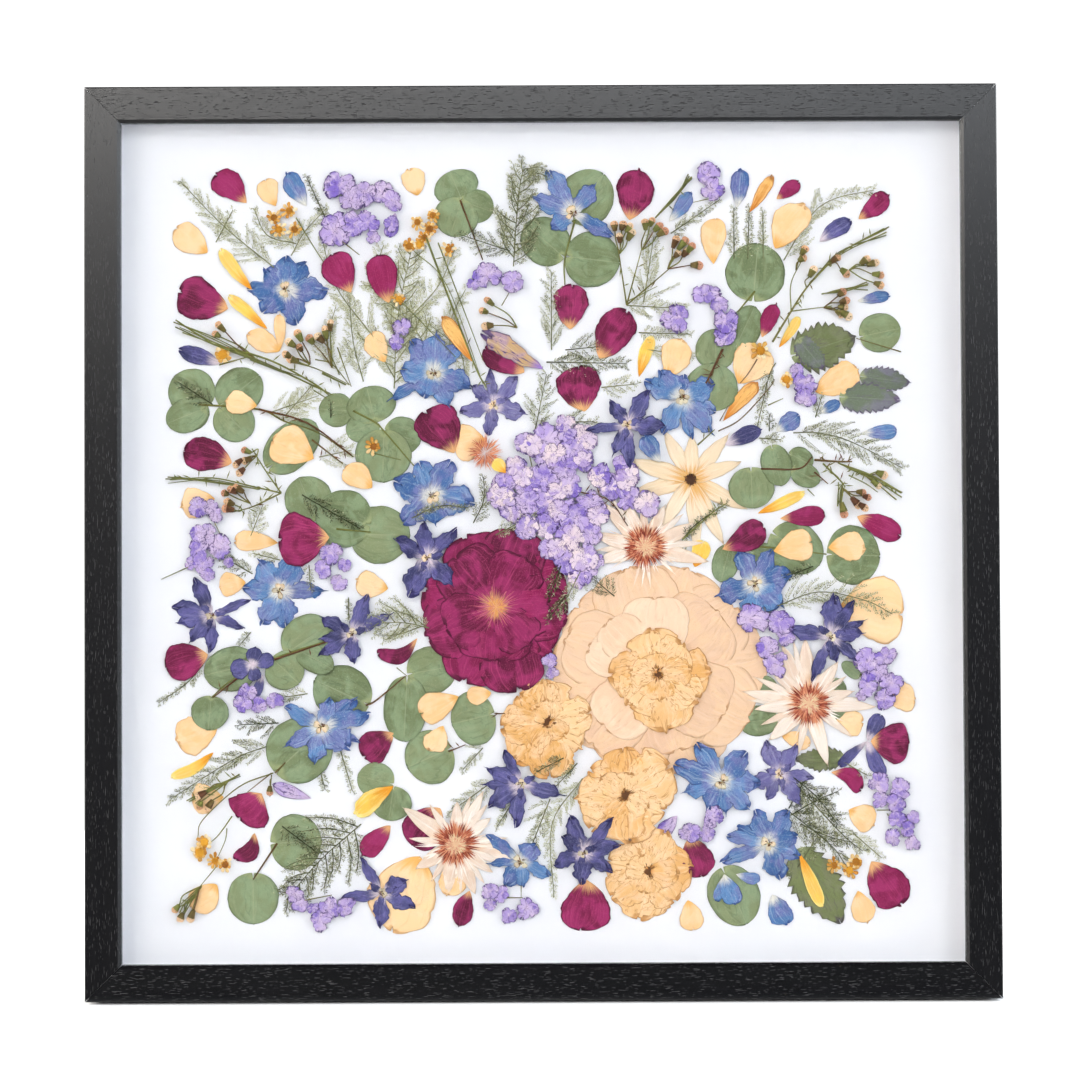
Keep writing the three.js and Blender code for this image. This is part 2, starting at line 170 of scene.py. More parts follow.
def bladeSheet(bundle, base, tip, width, depth, draw, **changes):
    # A petal or leaf. v runs from base to tip and u across it. Its half-width is v^neck (1-v)^round,
    # brought to half of the width at its widest, so a high neck gives a pointed foot and a low round
    # a blunt tip. A bend moves the middle sideways by sin(pi v), a notch pulls the middle of the tip
    # back, a heart pulls the middle of the base in, and folds fan out from the base. Ragged edges
    # are sine waves along v, and teeth widen it by the fraction of v times their count.
    s = {**petalShape, **changes}
    v = (1 - np.cos(np.pi * np.linspace(0.02, 0.985, s["rows"])))[:, None] / 2
    u = np.linspace(-1, 1, s["cols"])[None, :]
    base, tip = np.array(base, float), np.array(tip, float)
    along = tip - base
    length = np.hypot(*along)
    across = np.array([-along[1], along[0]]) / length
    widest = s["neck"] / (s["neck"] + s["round"])
    half = width / 2 * (v / widest) ** s["neck"] * ((1 - v) / (1 - widest)) ** s["round"]
    phase = draw.uniform(0, fullTurn, 6)
    waves = sum(strength * np.sin(pitch * v + start + shift * np.sign(u))
                for (pitch, shift, strength), start in zip(edgeWaves, phase))
    edge = 1 + s["ragged"] * waves + s["teeth"] * ((v * s["toothCount"]) % 1 - 0.5)
    side = u * half * edge + s["bend"] * width * np.sin(np.pi * v)
    run = v - s["notch"] * np.exp(-(u / 0.4) ** 2) * v ** 5
    run = run + s["heart"] * np.exp(-(u / 0.35) ** 2) * (1 - v) ** 4
    run = run + s["ragged"] * (0.7 * np.sin(4 * u + phase[3]) + 0.5 * np.sin(9 * u + phase[4])) * v ** 4
    x = base[0] + along[0] * run + across[0] * side
    z = base[1] + along[1] * run + across[1] * side
    lift = s["crown"] * (1 - u ** 2) * np.sin(np.pi * v)
    lift = lift + s["crumple"] * (1 + ripple(x, z, s["pitch"], draw))
    fan = np.sin(s["foldCount"] * 3.14 * u + phase[5] + 1.5 * v)
    lift = lift + s["folds"] * (1 + fan) * v * (1 - 0.4 * v)
    points = np.stack([x, depth + lift, z], -1)
    uvs = np.stack(np.broadcast_arrays((u + 1) / 2, v), -1)
    bundle.grid(points[:, ::-1], uvs[:, ::-1], draw.uniform(0, 1))


def smoothRoute(points, steps=6):
    # Catmull-Rom curve through the points: a cubic between each two, bent by their neighbours
    p = np.asarray(points, float)
    if len(p) == 2:
        return np.linspace(p[0], p[1], 4)
    p = np.vstack([2 * p[0] - p[1], p, 2 * p[-1] - p[-2]])
    t = np.linspace(0, 1, steps, endpoint=False)[:, None]
    parts = [0.5 * (2 * b + (c - a) * t + (2 * a - 5 * b + 4 * c - d) * t ** 2
                    + (3 * b - a - 3 * c + d) * t ** 3)
             for a, b, c, d in zip(p[:-3], p[1:-2], p[2:-1], p[3:])]
    return np.vstack(parts + [p[-2:-1]])


def stemTube(bundle, route, radius, depth, tone, sides=6, taper=0.6):
    # a stem: a ring of the radius carried along the route, its size changing evenly to the taper
    line = smoothRoute(route)
    ahead = np.gradient(line, axis=0)
    ahead /= np.linalg.norm(ahead, axis=1)[:, None] + 1e-9
    across = np.stack([-ahead[:, 1], ahead[:, 0]], 1)
    v = np.linspace(0, 1, len(line))
    size = radius * (1 + (taper - 1) * v)
    turn = np.arange(sides) * 2 * np.pi / sides
    wide = np.cos(turn)[None, :] * size[:, None]
    x = line[:, :1] + across[:, :1] * wide
    z = line[:, 1:] + across[:, 1:] * wide
    deep = depth + size[:, None] * (1 + np.sin(turn)[None, :])
    uvs = np.stack(np.broadcast_arrays(turn[None, :] / fullTurn, v[:, None]), -1)
    bundle.tube(np.stack([x, deep, z], -1), uvs, tone)


def needles(bundle, starts, ends, width, depth, tone, rise=0.16):
    # each needle is a closed sliver of four faces: two ends and a raised pair of middle points
    starts, ends = np.asarray(starts, float), np.asarray(ends, float)
    ahead = ends - starts
    across = np.stack([-ahead[:, 1], ahead[:, 0]], 1)
    across /= np.linalg.norm(across, axis=1)[:, None] + 1e-9
    centre = (starts + ends) / 2
    half = np.broadcast_to(np.asarray(width, float) / 2, (len(starts),))[:, None]
    depth = np.broadcast_to(np.asarray(depth, float), (len(starts),))
    flat = np.stack([starts, centre + across * half, ends, centre - across * half], 1)
    lift = np.stack([depth, depth + rise, depth, depth + rise], 1)
    points = np.stack([flat[..., 0], lift, flat[..., 1]], -1)
    uvs = np.broadcast_to(np.array([[0.5, 0], [0, 0.5], [0.5, 1], [1, 0.5]]), (len(starts), 4, 2))
    first = np.arange(len(starts))[:, None] * 4
    faces = np.concatenate([first + f for f in ([0, 3, 1], [2, 1, 3], [0, 1, 2], [2, 3, 0])])
    bundle.add(points, uvs, np.repeat(np.broadcast_to(tone, (len(starts),)), 4), {3: faces})


def dome(bundle, centre, radius, height, depth, tone, rough, draw, rings=5, sides=12):
    # a low round button: rings of a radius sin(t), roughened, at a height cos(t) over its foot
    t = np.linspace(0.04, np.pi / 2, rings)[:, None]
    turn = (np.arange(sides) * 2 * np.pi / sides)[None, :]
    r = radius * np.sin(t) * (1 + draw.uniform(-rough, rough, (rings, sides)))
    x = centre[0] + r * np.cos(turn)
    z = centre[1] + r * np.sin(turn)
    deep = depth + height * np.cos(t) + 0 * turn
    uvs = np.stack(np.broadcast_arrays(turn / fullTurn, t / 1.571), -1)
    bundle.tube(np.stack([x, deep, z], -1)[::-1], uvs[::-1], tone)


class Wire:  # a socket that takes part in Python sums
    def __init__(self, look, socket):
        self.look = look
        self.socket = socket

    def sum(self, operation, *others):
        return self.look.node("ShaderNodeMath", {"operation": operation}, dict(enumerate(others)))

    def __add__(self, other):
        return self.sum("ADD", self, other)

    def __radd__(self, other):
        return self.sum("ADD", other, self)

    def __sub__(self, other):
        return self.sum("SUBTRACT", self, other)

    def __rsub__(self, other):
        return self.sum("SUBTRACT", other, self)

    def __mul__(self, other):
        return self.sum("MULTIPLY", self, other)

    def __rmul__(self, other):
        return self.sum("MULTIPLY", other, self)

    def __abs__(self):
        return self.sum("ABSOLUTE", self)


class Look:  # one material or world, and short ways to its nodes
    def __init__(self, name, rough=0.7, specular=0.3, world=None):
        self.material = world or bpy.data.materials.new(name)
        self.material.use_nodes = True
        self.tree = self.material.node_tree
        self.shader = self.tree.nodes["Background" if world else "Principled BSDF"]
        if not world:
            self.shader.inputs["Roughness"].default_value = rough
            self.shader.inputs["Specular IOR Level"].default_value = specular

    def node(self, kind, settings=None, inputs=None, out=0):
        made = self.tree.nodes.new(kind)
        for key, value in (settings or {}).items():
            if key == "stops":
                while len(made.color_ramp.elements) < len(value):
                    made.color_ramp.elements.new(0.5)
                for stop, (place, colour) in zip(made.color_ramp.elements, value):
                    stop.position = place
                    stop.color = (*colour, 1)
            else:
                setattr(made, key, value)
        for key, value in (inputs or {}).items():
            if isinstance(value, Wire):
                self.tree.links.new(value.socket, made.inputs[key])
            else:
                made.inputs[key].default_value = value
        return Wire(self, made.outputs[out])

    def feed(self, **inputs):
        for key, value in inputs.items():
            self.tree.links.new(value.socket, self.shader.inputs[key])

    def mix(self, factor, a, b):
        a, b = [colour if isinstance(colour, Wire) else (*colour, 1) for colour in (a, b)]
        return self.node("ShaderNodeMix", {"data_type": "RGBA"}, {0: factor, 6: a, 7: b}, 2)

    def coordinates(self, kind="Object"):
        made = self.node("ShaderNodeTexCoord")
        return Wire(self, made.socket.node.outputs[kind])

    def split(self, vector):
        x = self.node("ShaderNodeSeparateXYZ", None, {0: vector})
        return [Wire(self, socket) for socket in x.socket.node.outputs]

    def vector(self, x, y, z):
        return self.node("ShaderNodeCombineXYZ", None, {0: x, 1: y, 2: z})

    def stretch(self, vector, scale):
        return self.node("ShaderNodeMapping", None, {"Vector": vector, "Scale": scale})

    def noise(self, vector, scale, detail=2.0, rough=0.5, warp=0.0):
        return self.node("ShaderNodeTexNoise", None, {
            "Vector": vector, "Scale": scale, "Detail": detail, "Roughness": rough, "Distortion": warp})

    def band(self, value, low, high):  # 0 at low, 1 at high, with soft ends
        return self.node("ShaderNodeMapRange", {"interpolation_type": "SMOOTHSTEP"},
                         {"Value": value, "From Min": low, "From Max": high})

    def tone(self):
        return self.node("ShaderNodeAttribute", {"attribute_name": "tone"}, None, 2)

    def bump(self, height, strength, distance):
        made = self.node("ShaderNodeBump", None, {
            "Height": height, "Strength": strength, "Distance": distance})
        self.feed(Normal=made)


def tint(seen):  # a colour as it is seen, 0 to 255, to the shader's own numbers
    return tuple(((c / 255 + 0.055) / 1.055) ** 2.4 if c > 10 else c / 3294 for c in seen)


# body, light and dark are the three tones of a petal; base is its narrow end, rim its edge, and
# mottle the colour of its broad patches. vein, crease and speckle say how strongly each shows, and
# count how many veins there are. The crease strength is painted shade: fold lines take the rim colour.
# Widths and reaches are fractions of the petal.
petalUsual = {
    "count": 12, "baseReach": 0.3, "rimWidth": 0.08, "vein": 0.5, "creaseShade": 0.6, "speckle": 0.1,
    "rough": 0.8}
petalFinishes = {
    "burgundy": {
        "body": (140, 20, 78), "light": (186, 70, 118), "dark": (88, 8, 46), "base": (232, 178, 122),
        "rim": (78, 8, 42), "mottle": (160, 44, 102), "baseReach": 0.27, "count": 34, "creaseShade": 0.15,
        "speckle": 0.6, "rough": 0.75, "streak": 2.0},
    "cream": {
        "body": (248, 211, 160), "light": (250, 220, 182), "dark": (242, 198, 142), "base": (236, 178, 98),
        "rim": (222, 172, 116), "mottle": (247, 214, 170), "vein": 0.35, "creaseShade": 0.1, "rimWidth": 0.06},
    "yellow": {
        "body": (238, 198, 102), "light": (246, 222, 160), "dark": (228, 174, 66), "base": (228, 150, 26),
        "rim": (250, 226, 140), "mottle": (248, 204, 84), "baseReach": 0.55, "count": 7, "vein": 0.6,
        "creaseShade": 0.25, "rimWidth": 0.2, "rough": 0.75},
    "blue": {
        "body": (92, 134, 184), "light": (176, 196, 216), "dark": (52, 94, 150), "base": (228, 226, 216),
        "rim": (54, 80, 140), "mottle": (118, 118, 172), "baseReach": 0.42, "count": 11, "vein": 0.55,
        "speckle": 0.6, "rough": 0.75},
    "indigo": {
        "body": (72, 72, 124), "light": (138, 136, 178), "dark": (44, 46, 90), "base": (220, 206, 214),
        "rim": (40, 36, 90), "mottle": (100, 96, 156), "baseReach": 0.42, "count": 9, "vein": 0.55,
        "speckle": 0.6, "rimWidth": 0.1, "rough": 0.72},
    "lilac": {
        "body": (176, 154, 210), "light": (228, 212, 226), "dark": (122, 98, 188), "base": (204, 182, 212),
        "rim": (78, 58, 116), "mottle": (208, 188, 216), "count": 5, "vein": 0.6, "creaseShade": 0.9,
        "speckle": 0.4, "rimWidth": 0.13},
    "gold": {
        "body": (240, 201, 150), "light": (249, 222, 184), "dark": (224, 170, 102), "base": (198, 134, 66),
        "rim": (192, 136, 76), "mottle": (243, 206, 162), "baseReach": 0.26, "creaseShade": 0.8, "speckle": 0.15,
        "rimWidth": 0.05},
    "peony": {
        "body": (234, 200, 167), "light": (240, 212, 187), "dark": (226, 189, 158), "base": (232, 188, 142),
        "rim": (206, 158, 116), "mottle": (238, 202, 164), "count": 24, "vein": 0.45, "creaseShade": 0.12,
        "speckle": 0.05, "rimWidth": 0.022},
    "bract": {
        "body": (238, 226, 214), "light": (246, 240, 233), "dark": (226, 200, 178), "base": (236, 180, 120),
        "rim": (236, 214, 190), "mottle": (244, 228, 212), "baseReach": 0.5, "count": 6, "vein": 0.7,
        "creaseShade": 0.2, "rimWidth": 0.2, "rough": 0.7},
    "leaf": {
        "body": (128, 140, 100), "light": (160, 168, 134), "dark": (106, 120, 82), "base": (150, 160, 116),
        "rim": (74, 92, 62), "mottle": (138, 158, 122), "baseReach": 0.1, "count": 9, "vein": 0.3,
        "creaseShade": 0.25, "speckle": 0.6, "rimWidth": 0.03, "rough": 0.62, "midrib": 0.6}}

# finishes like one of the others, and what is different in them
petalVariants = {
    "eye": ("cream", {
        "body": (228, 218, 188), "base": (170, 154, 92), "light": (240, 236, 220), "dark": (200, 184, 156),
        "rim": (134, 120, 84)}),
    "mauve": ("indigo", {
        "body": (106, 102, 156), "light": (170, 166, 198), "dark": (78, 76, 130), "mottle": (130, 126, 172),
        "rim": (64, 58, 112)}),
    "peonyWhite": ("peony", {
        "body": (242, 213, 184), "light": (247, 225, 204), "dark": (238, 203, 170),
        "mottle": (244, 217, 188), "base": (242, 206, 160)}),
    "dried": ("lilac", {
        "body": (196, 162, 112), "light": (226, 202, 164), "dark": (158, 122, 110), "base": (150, 122, 190),
        "mottle": (168, 140, 176)}),
    "star": ("cream", {
        "body": (243, 224, 197), "light": (249, 238, 219), "dark": (234, 209, 170),
        "mottle": (240, 216, 184), "base": (224, 170, 98), "rim": (224, 194, 154), "baseReach": 0.4,
        "vein": 0.6, "streak": 2.4}),
    "dusky": ("leaf", {
        "body": (112, 126, 98), "light": (146, 148, 140), "dark": (88, 100, 82), "rim": (104, 88, 122),
        "mottle": (122, 118, 138), "rimWidth": 0.14, "count": 16, "creaseShade": 0.5}),
    "ochre": ("yellow", {
        "body": (234, 180, 104), "light": (246, 208, 146), "dark": (218, 150, 70), "base": (204, 122, 34),
        "rim": (190, 120, 50), "mottle": (238, 190, 112), "creaseShade": 0.6}),
    "serrated": ("leaf", {
        "body": (112, 122, 76), "light": (140, 148, 108), "dark": (88, 98, 60), "rim": (86, 78, 86),
        "mottle": (122, 126, 92), "rimWidth": 0.08, "count": 16, "creaseShade": 0.5}),
    "paleLilac": ("lilac", {
        "body": (222, 204, 220), "light": (242, 230, 230), "dark": (174, 150, 206),
        "mottle": (236, 218, 214), "rim": (104, 78, 132)})}

# three tones each, for stems, needles and small buttons, and how rough they are
stemFinishes = {
    "stem": (0.7, (96, 58, 36), (118, 122, 58), (92, 96, 62)),
    "fern": (0.7, (42, 50, 20), (136, 138, 96), (202, 202, 172)),
    "streak": (0.8, (196, 96, 128), (208, 124, 100), (226, 170, 96)),
    "whisker": (0.75, (232, 196, 172), (244, 226, 208), (250, 242, 232)),
    "stamen": (0.8, (66, 40, 26), (116, 72, 38), (172, 122, 60)),
    "coral": (0.75, (126, 46, 34), (178, 88, 62), (218, 150, 112)),
    "pale": (0.8, (206, 132, 112), (222, 176, 140), (226, 206, 164)),
    "peach": (0.6, (204, 146, 116), (230, 184, 142), (242, 214, 178)),
    "button": (0.8, (140, 84, 24), (198, 134, 30), (232, 176, 60)),
    "ray": (0.8, (188, 126, 44), (222, 176, 96), (244, 226, 186))}


def petalLook(name, f):
    # Veins are noise drawn out along the petal, so its lines gather at the narrow end; creases are
    # thin level lines of such a noise and of one without direction, painted as shade in the rim colour;
    # speckles are fine and light.
    f = {key: tint(value) if isinstance(value, tuple) else value for key, value in f.items()}
    look = Look(name, f["rough"], 0.25)
    u, v, _ = look.split(look.coordinates("UV"))
    tone = look.tone()
    place = look.coordinates()
    across = abs(u * 2 - 1)
    veins = look.noise(look.vector((u - 0.5) * f["count"], v * 1.3, tone * 37), 1.0, 3.0, 0.7)
    folds = look.noise(look.vector((u - 0.5) * f["count"] * 0.45, v * 1.1, tone * 53), 1.0, 2.5, 0.6, 0.4)
    blotch = look.noise(place, 80.0, 2.0, 0.6, 0.5)
    speck = look.noise(place, 1500.0, 2.0, 0.7)
    wander = look.noise(place, 190.0, 2.0, 0.55, 0.7)
    # painted shade: thin fold lines, and wrinkles within the blotches, marked for darkening
    creaseShade = 1 - look.band(abs(folds - 0.5), 0.0, 0.022)
    creaseShade = creaseShade + (1 - look.band(abs(wander - 0.5), 0.0, 0.03)) * look.band(blotch, 0.45, 0.6) * 0.7
    colour = look.mix(look.band(tone, 0.1, 0.9), f["dark"], f["body"])
    colour = look.mix(look.band(blotch, 0.42, 0.62) * 0.75, colour, f["mottle"])
    colour = look.mix(look.band(veins, 0.48, 0.7) * f["vein"], colour, f["light"])
    colour = look.mix(look.band(speck, 0.55, 0.72) * f["speckle"], colour, f["light"])
    rim = look.band(across, 1 - f["rimWidth"] * 1.6, 1.0) + look.band(v, 1 - f["rimWidth"] * 0.8, 1.0)
    colour = look.mix(look.band(rim + (veins - 0.5) * 0.6, 0.35, 1.0) * 0.85, colour, f["rim"])
    reach = v + (veins - 0.5) * f.get("streak", 1.1) * f["baseReach"] + across * 0.1 * f["baseReach"]
    colour = look.mix(look.band(reach, f["baseReach"] * 0.25, f["baseReach"]), f["base"], colour)
    # painted shade along the fold lines, mixed towards the rim colour
    colour = look.mix(look.band(creaseShade, 0.2, 1.0) * f["creaseShade"], colour, f["rim"])
    if "midrib" in f:
        colour = look.mix((1 - look.band(across, 0.0, 0.035)) * f["midrib"], colour, f["light"])
    look.feed(**{"Base Color": colour})
    look.bump(veins * 0.6 + wander * 0.6 + speck * 0.15 - creaseShade * 0.5, 0.5, 0.0005)
    return look.material


def stemLook(name, rough, first, second, third):
    # three tones along a ramp, moved by the piece's own tone and by a fine grain
    look = Look(name, rough, 0.25)
    grain = look.noise(look.coordinates(), 700.0, 2.0)
    stops = [(0.1, tint(first)), (0.5, tint(second)), (0.9, tint(third))]
    colour = look.node("ShaderNodeValToRGB", {"stops": stops}, {0: look.tone() + (grain - 0.5) * 0.35})
    look.feed(**{"Base Color": colour})
    look.bump(grain, 0.4, 0.0003)
    return look.material


# the pores' colour is lighter than the stain: painted glints on the pore edges
oak = {"figure": (6, 90, 90), "fibre": (40, 1700, 1700), "pore": (200, 2300, 2300),
       "stain": (5, 5, 7), "soft": (10, 10, 11), "ridge": (17, 17, 19), "poreGlint": (32, 31, 32)}


def oakLook(name, upright):
    # stained oak with coarse, unfilled pores: long figure, fine fibres and short pores, all drawn out along
    # the rail; the pores are painted lighter, as glints on their edges
    look = Look(name, 0.25, 0.28)
    place = look.coordinates()
    figureSize, fibreSize, poreSize = [
        oak[key][::-1] if upright else oak[key] for key in ("figure", "fibre", "pore")]
    figure = look.noise(look.stretch(place, figureSize), 1.0, 3.0, 0.6, 0.8)
    fibres = look.noise(look.stretch(place, fibreSize), 1.0, 3.0, 0.7)
    pores = look.noise(look.stretch(place, poreSize), 1.0, 1.5, 0.6)
    pore = look.band(pores, 0.62, 0.72)
    colour = look.mix(look.band(figure, 0.3, 0.7), tint(oak["stain"]), tint(oak["soft"]))
    colour = look.mix(look.band(fibres, 0.35, 0.75), colour, tint(oak["ridge"]))
    # painted glints: the pores are lighter than the stain; their roughness and bump are real
    colour = look.mix(pore, colour, tint(oak["poreGlint"]))
    look.feed(**{"Base Color": colour, "Roughness": 0.27 + pore * 0.3 - fibres * 0.12})
    look.bump(fibres * 0.5 - pore, 0.2, 0.0003)
    return look.material


sheets = {  # two tones, the size of the grain, roughness, depth of the grain, metallic
    "card": ("mountCard", (241, 242, 246), (238, 239, 244), 2600.0, 0.9, 0.00005, 0.0),
    "spacer": ("spacerCard", (236, 237, 240), (228, 229, 233), 1800.0, 0.85, 0.0002, 0.0),
    "board": ("fibreboard", (132, 102, 74), (112, 84, 60), 1400.0, 0.85, 0.0002, 0.0),
    "steel": ("platedSteel", (188, 191, 196), (150, 153, 158), 900.0, 0.35, 0.0001, 1.0),
    "floor": ("floor", (250, 250, 250), (247, 247, 248), 3.0, 0.85, 0.0002, 0.0)}


def sheetLook(name, colour, other, grain, rough, depth, metallic):
    # two close tones, mixed by a fine tooth and a broad cloud
    look = Look(name, rough, 0.3)
    look.shader.inputs["Metallic"].default_value = metallic
    place = look.coordinates()
    tooth = look.noise(place, grain, 3.0, 0.7)
    cloud = look.noise(place, 14.0, 2.0)
    shade = look.band(tooth * 0.6 + cloud * 0.4, 0.3, 0.7)
    look.feed(**{"Base Color": look.mix(shade, tint(colour), tint(other))})
    look.bump(tooth, 0.3, depth)
    return look.material


def glassLook():  # clear glass that bends light
    look = Look("clearGlass", 0.0, 0.5)
    for key, value in {"Transmission Weight": 1.0, "IOR": 1.45, "Base Color": (1, 1, 1, 1)}.items():
        look.shader.inputs[key].default_value = value
    return look.material


finishes = {name: petalLook(name + "Petal", {**petalUsual, **f}) for name, f in petalFinishes.items()}
for name, (likeness, f) in petalVariants.items():
    finishes[name] = petalLook(name + "Petal", {**petalUsual, **petalFinishes[likeness], **f})
for name, values in stemFinishes.items():
    finishes[name] = stemLook(name, *values)
for name, values in sheets.items():
    finishes[name] = sheetLook(*values)
finishes["glass"] = glassLook()
finishes["oakX"] = oakLook("oakAlong", False)
finishes["oakZ"] = oakLook("oakUpright", True)
print("finishes made")


def dress(node, finish):
    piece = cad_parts[node]
    piece.data.materials.clear()
    piece.data.materials.append(finishes[finish])


for side, grain in {"top": "oakX", "bottom": "oakX", "left": "oakZ", "right": "oakZ"}.items():
    dress(f"rail_{side}", grain)
    dress(f"spacer_{side}", "spacer")
    dress(f"tab_{side}", "steel")
dress("glass_pane", "glass")
dress("mount_card", "card")
dress("back_board", "board")
dress("sawtooth_hanger", "steel")
print("frame dressed")


def flowerSheets(bundle, centre, petals, depth, draw, **shape):
    # petals are (tipX, tipZ, width) from one middle; every second one lies over its neighbours
    for i, (x, z, width) in enumerate(petals):
        bladeSheet(bundle, centre, (x, z), width, depth + 0.2 * (i % 2), draw, **shape)


def sprinkle(centre, inner, outer, count, draw, flare=0.25):
    # pairs of points that run outwards in a ring, for stamens and florets
    turn = draw.uniform(0, 2 * np.pi, count)
    start = draw.uniform(0, inner, count)
    reach = draw.uniform(0.55, 1.0, count) * outer
    lean = turn + draw.normal(0, flare, count)
    starts = np.stack([centre[0] + start * np.cos(turn), centre[1] + start * np.sin(turn)], 1)
    ends = np.stack([centre[0] + reach * np.cos(lean), centre[1] + reach * np.sin(lean)], 1)
    return starts, ends


def pointAt(centre, reach, turn):  # the cosine of the turn goes to x, the sine to z
    return (centre[0] + reach * np.cos(turn), centre[1] + reach * np.sin(turn))


# Whole flowers are a middle and a list of petals; lifts are heights over a flower's own level.
delphiniums = [
    ((-149, 148), [
        (-161, 160, 13), (-149, 166, 13), (-138, 163, 13), (-127, 148, 14), (-143, 130, 14),
        (-161, 136, 13), (-169, 148, 12)]),
    ((-63, 99), [
        (-75, 116, 13), (-61, 121, 15), (-50, 114, 11), (-43, 91, 14), (-54, 80, 11), (-68, 86, 15),
        (-87, 84, 7), (-80, 101, 15)]),
    ((19, 192), [(6, 215, 12), (-3, 201, 11), (7, 184, 11), (31, 208, 11), (40, 180, 9)]),
    ((82, 84), [
        (63, 93, 13), (70, 99, 11), (83, 96, 10), (99, 91, 14), (100, 76, 9), (99, 64, 12), (87, 62, 7),
        (72, 65, 11)]),
    ((-64, 27), [(-71, 45, 13), (-54, 46, 14), (-84, 35, 16), (-80, 12, 14), (-62, 11, 14), (-42, 23, 17)]),
    ((-153, -28), [
        (-165, -11, 14), (-145, -11, 16), (-172, -26, 13), (-163, -46, 13), (-150, -47, 15),
        (-128, -28, 10)]),
    ((-129, -107), [
        (-148, -97, 9), (-124, -92, 10), (-110, -92, 10), (-103, -100, 11), (-109, -115, 6),
        (-114, -119, 16), (-133, -127, 11), (-149, -118, 9)]),
    ((124, -25), [
        (115, -6, 12), (133, -7, 10), (143, -20, 14), (139, -38, 16), (123, -43, 15), (103, -32, 14)]),
    ((104, -140), [
        (91, -120, 12), (79, -131, 13), (83, -146, 12), (96, -155, 11), (106, -158, 10), (119, -155, 11),
        (124, -141, 13), (117, -125, 14)]),
    ((131, -176), [
        (114, -167, 12), (124, -159, 12), (142, -159, 12), (147, -172, 11), (147, -183, 11),
        (137, -195, 13), (106, -186, 9), (109, -172, 8)]),
    ((-13, -186), [
        (-31, -172, 7), (-5, -177, 13), (3, -194, 8), (-31, -187, 5), (-22, -200, 10), (-12, -200, 8)])]

larkspurs = [
    ((-28, 80), [(-30, 99, 6), (-15, 95, 9), (-40, 91, 8), (-46, 76, 9), (-31, 64, 8), (-10, 75, 11)]),
    ((50, 68), [(62, 86, 10), (69, 67, 11), (51, 45, 8), (42, 51, 8), (29, 65, 6), (41, 81, 8)]),
    ((-67, -9), [(-84, 1, 10), (-69, 10, 10), (-52, 6, 9), (-77, -29, 14), (-53, -24, 11)]),
    ((-193, -42), [
        (-202, -23, 9), (-213, -38, 11), (-212, -46, 9), (-205, -57, 9), (-194, -61, 8), (-173, -34, 5),
        (-176, -49, 6)]),
    ((-111, -53), [
        (-128, -44, 8), (-103, -33, 9), (-89, -42, 7), (-129, -56, 6), (-129, -65, 8), (-110, -69, 9)]),
    ((168, -56), [
        (170, -33, 13), (180, -38, 8), (187, -47, 6), (186, -54, 8), (145, -52, 9), (158, -79, 7),
        (171, -70, 8), (184, -70, 7)]),
    ((-13, -141), [
        (-22, -123, 7), (-32, -132, 9), (-34, -141, 7), (-30, -153, 11), (-16, -163, 9), (10, -147, 9)]),
    ((23, -181), [
        (16, -161, 10), (12, -172, 8), (39, -163, 7), (42, -177, 9), (38, -191, 9), (22, -197, 11),
        (8, -187, 9)]),
    ((138, -136), [
        (131, -119, 11), (147, -120, 9), (155, -138, 8), (149, -153, 9), (131, -149, 7), (123, -142, 10)]),
    ((-94, -204), [(-105, -186, 6), (-80, -197, 11), (-77, -212, 9), (-95, -223, 9), (-115, -207, 7)])]

blueFlowers = {
    "delphinium": {
        "flowers": delphiniums, "finish": "blue", "heart": 4.5, "inner": 0,
        "shape": {"neck": 0.75, "round": 0.45, "crumple": 0.26, "ragged": 0.13, "pitch": 5,
                  "folds": 0.15, "rows": 21, "cols": 15}},
    "larkspur": {
        "flowers": larkspurs, "finish": "indigo", "heart": 3.2, "inner": 3,
        "shape": {"neck": 0.8, "round": 0.55, "crumple": 0.28, "ragged": 0.15, "pitch": 4,
                  "folds": 0.2, "rows": 19, "cols": 11}}}
fadedFlowers = ("larkspur_1", "larkspur_9")
blueLifts = {"petals": 0.1, "inner": 0.45, "eye": 0.75, "threads": 1.0}  # millimetres
eyePetals, threadCount = 5, 14


def addBlueFlowers():
    draw = np.random.default_rng(11)
    threads = Bundle()
    for kind, flower in blueFlowers.items():
        eyes = Bundle()  # the small inner petals
        heart, shape = flower["heart"], flower["shape"]
        far = 2.6 * heart
        for i, (centre, petals) in enumerate(flower["flowers"]):
            node = f"{kind}_{i + 1}"
            level = levelOf(node)
            bundle = Bundle()
            flowerSheets(bundle, centre, petals, level + blueLifts["petals"], draw, **shape)
            for turn in draw.uniform(0, 1) + np.arange(flower["inner"]) * fullTurn / max(flower["inner"], 1):
                bladeSheet(bundle, centre, pointAt(centre, far, turn), far * 0.5,
                           level + blueLifts["inner"], draw, **shape)
            finish = "mauve" if node in fadedFlowers else flower["finish"]
            makePiece(f"{kind}Petals{i + 1}", bundle, finish, [node], petalThick)
            for turn in draw.uniform(0, fullTurn, eyePetals):
                bladeSheet(eyes, centre, pointAt(centre, heart, turn), heart * 0.7,
                           level + blueLifts["eye"], draw, rows=7, cols=5, ragged=0.1)
            starts, ends = sprinkle(centre, 0.8, heart * 0.75, threadCount, draw)
            needles(threads, starts, ends, 0.5, level + blueLifts["threads"],
                    draw.uniform(0, 0.6, threadCount), 0.3)
        makePiece(kind + "Eyes", eyes, "eye", (), sepalThick)
    makePiece("blueFlowerThreads", threads, "stamen")


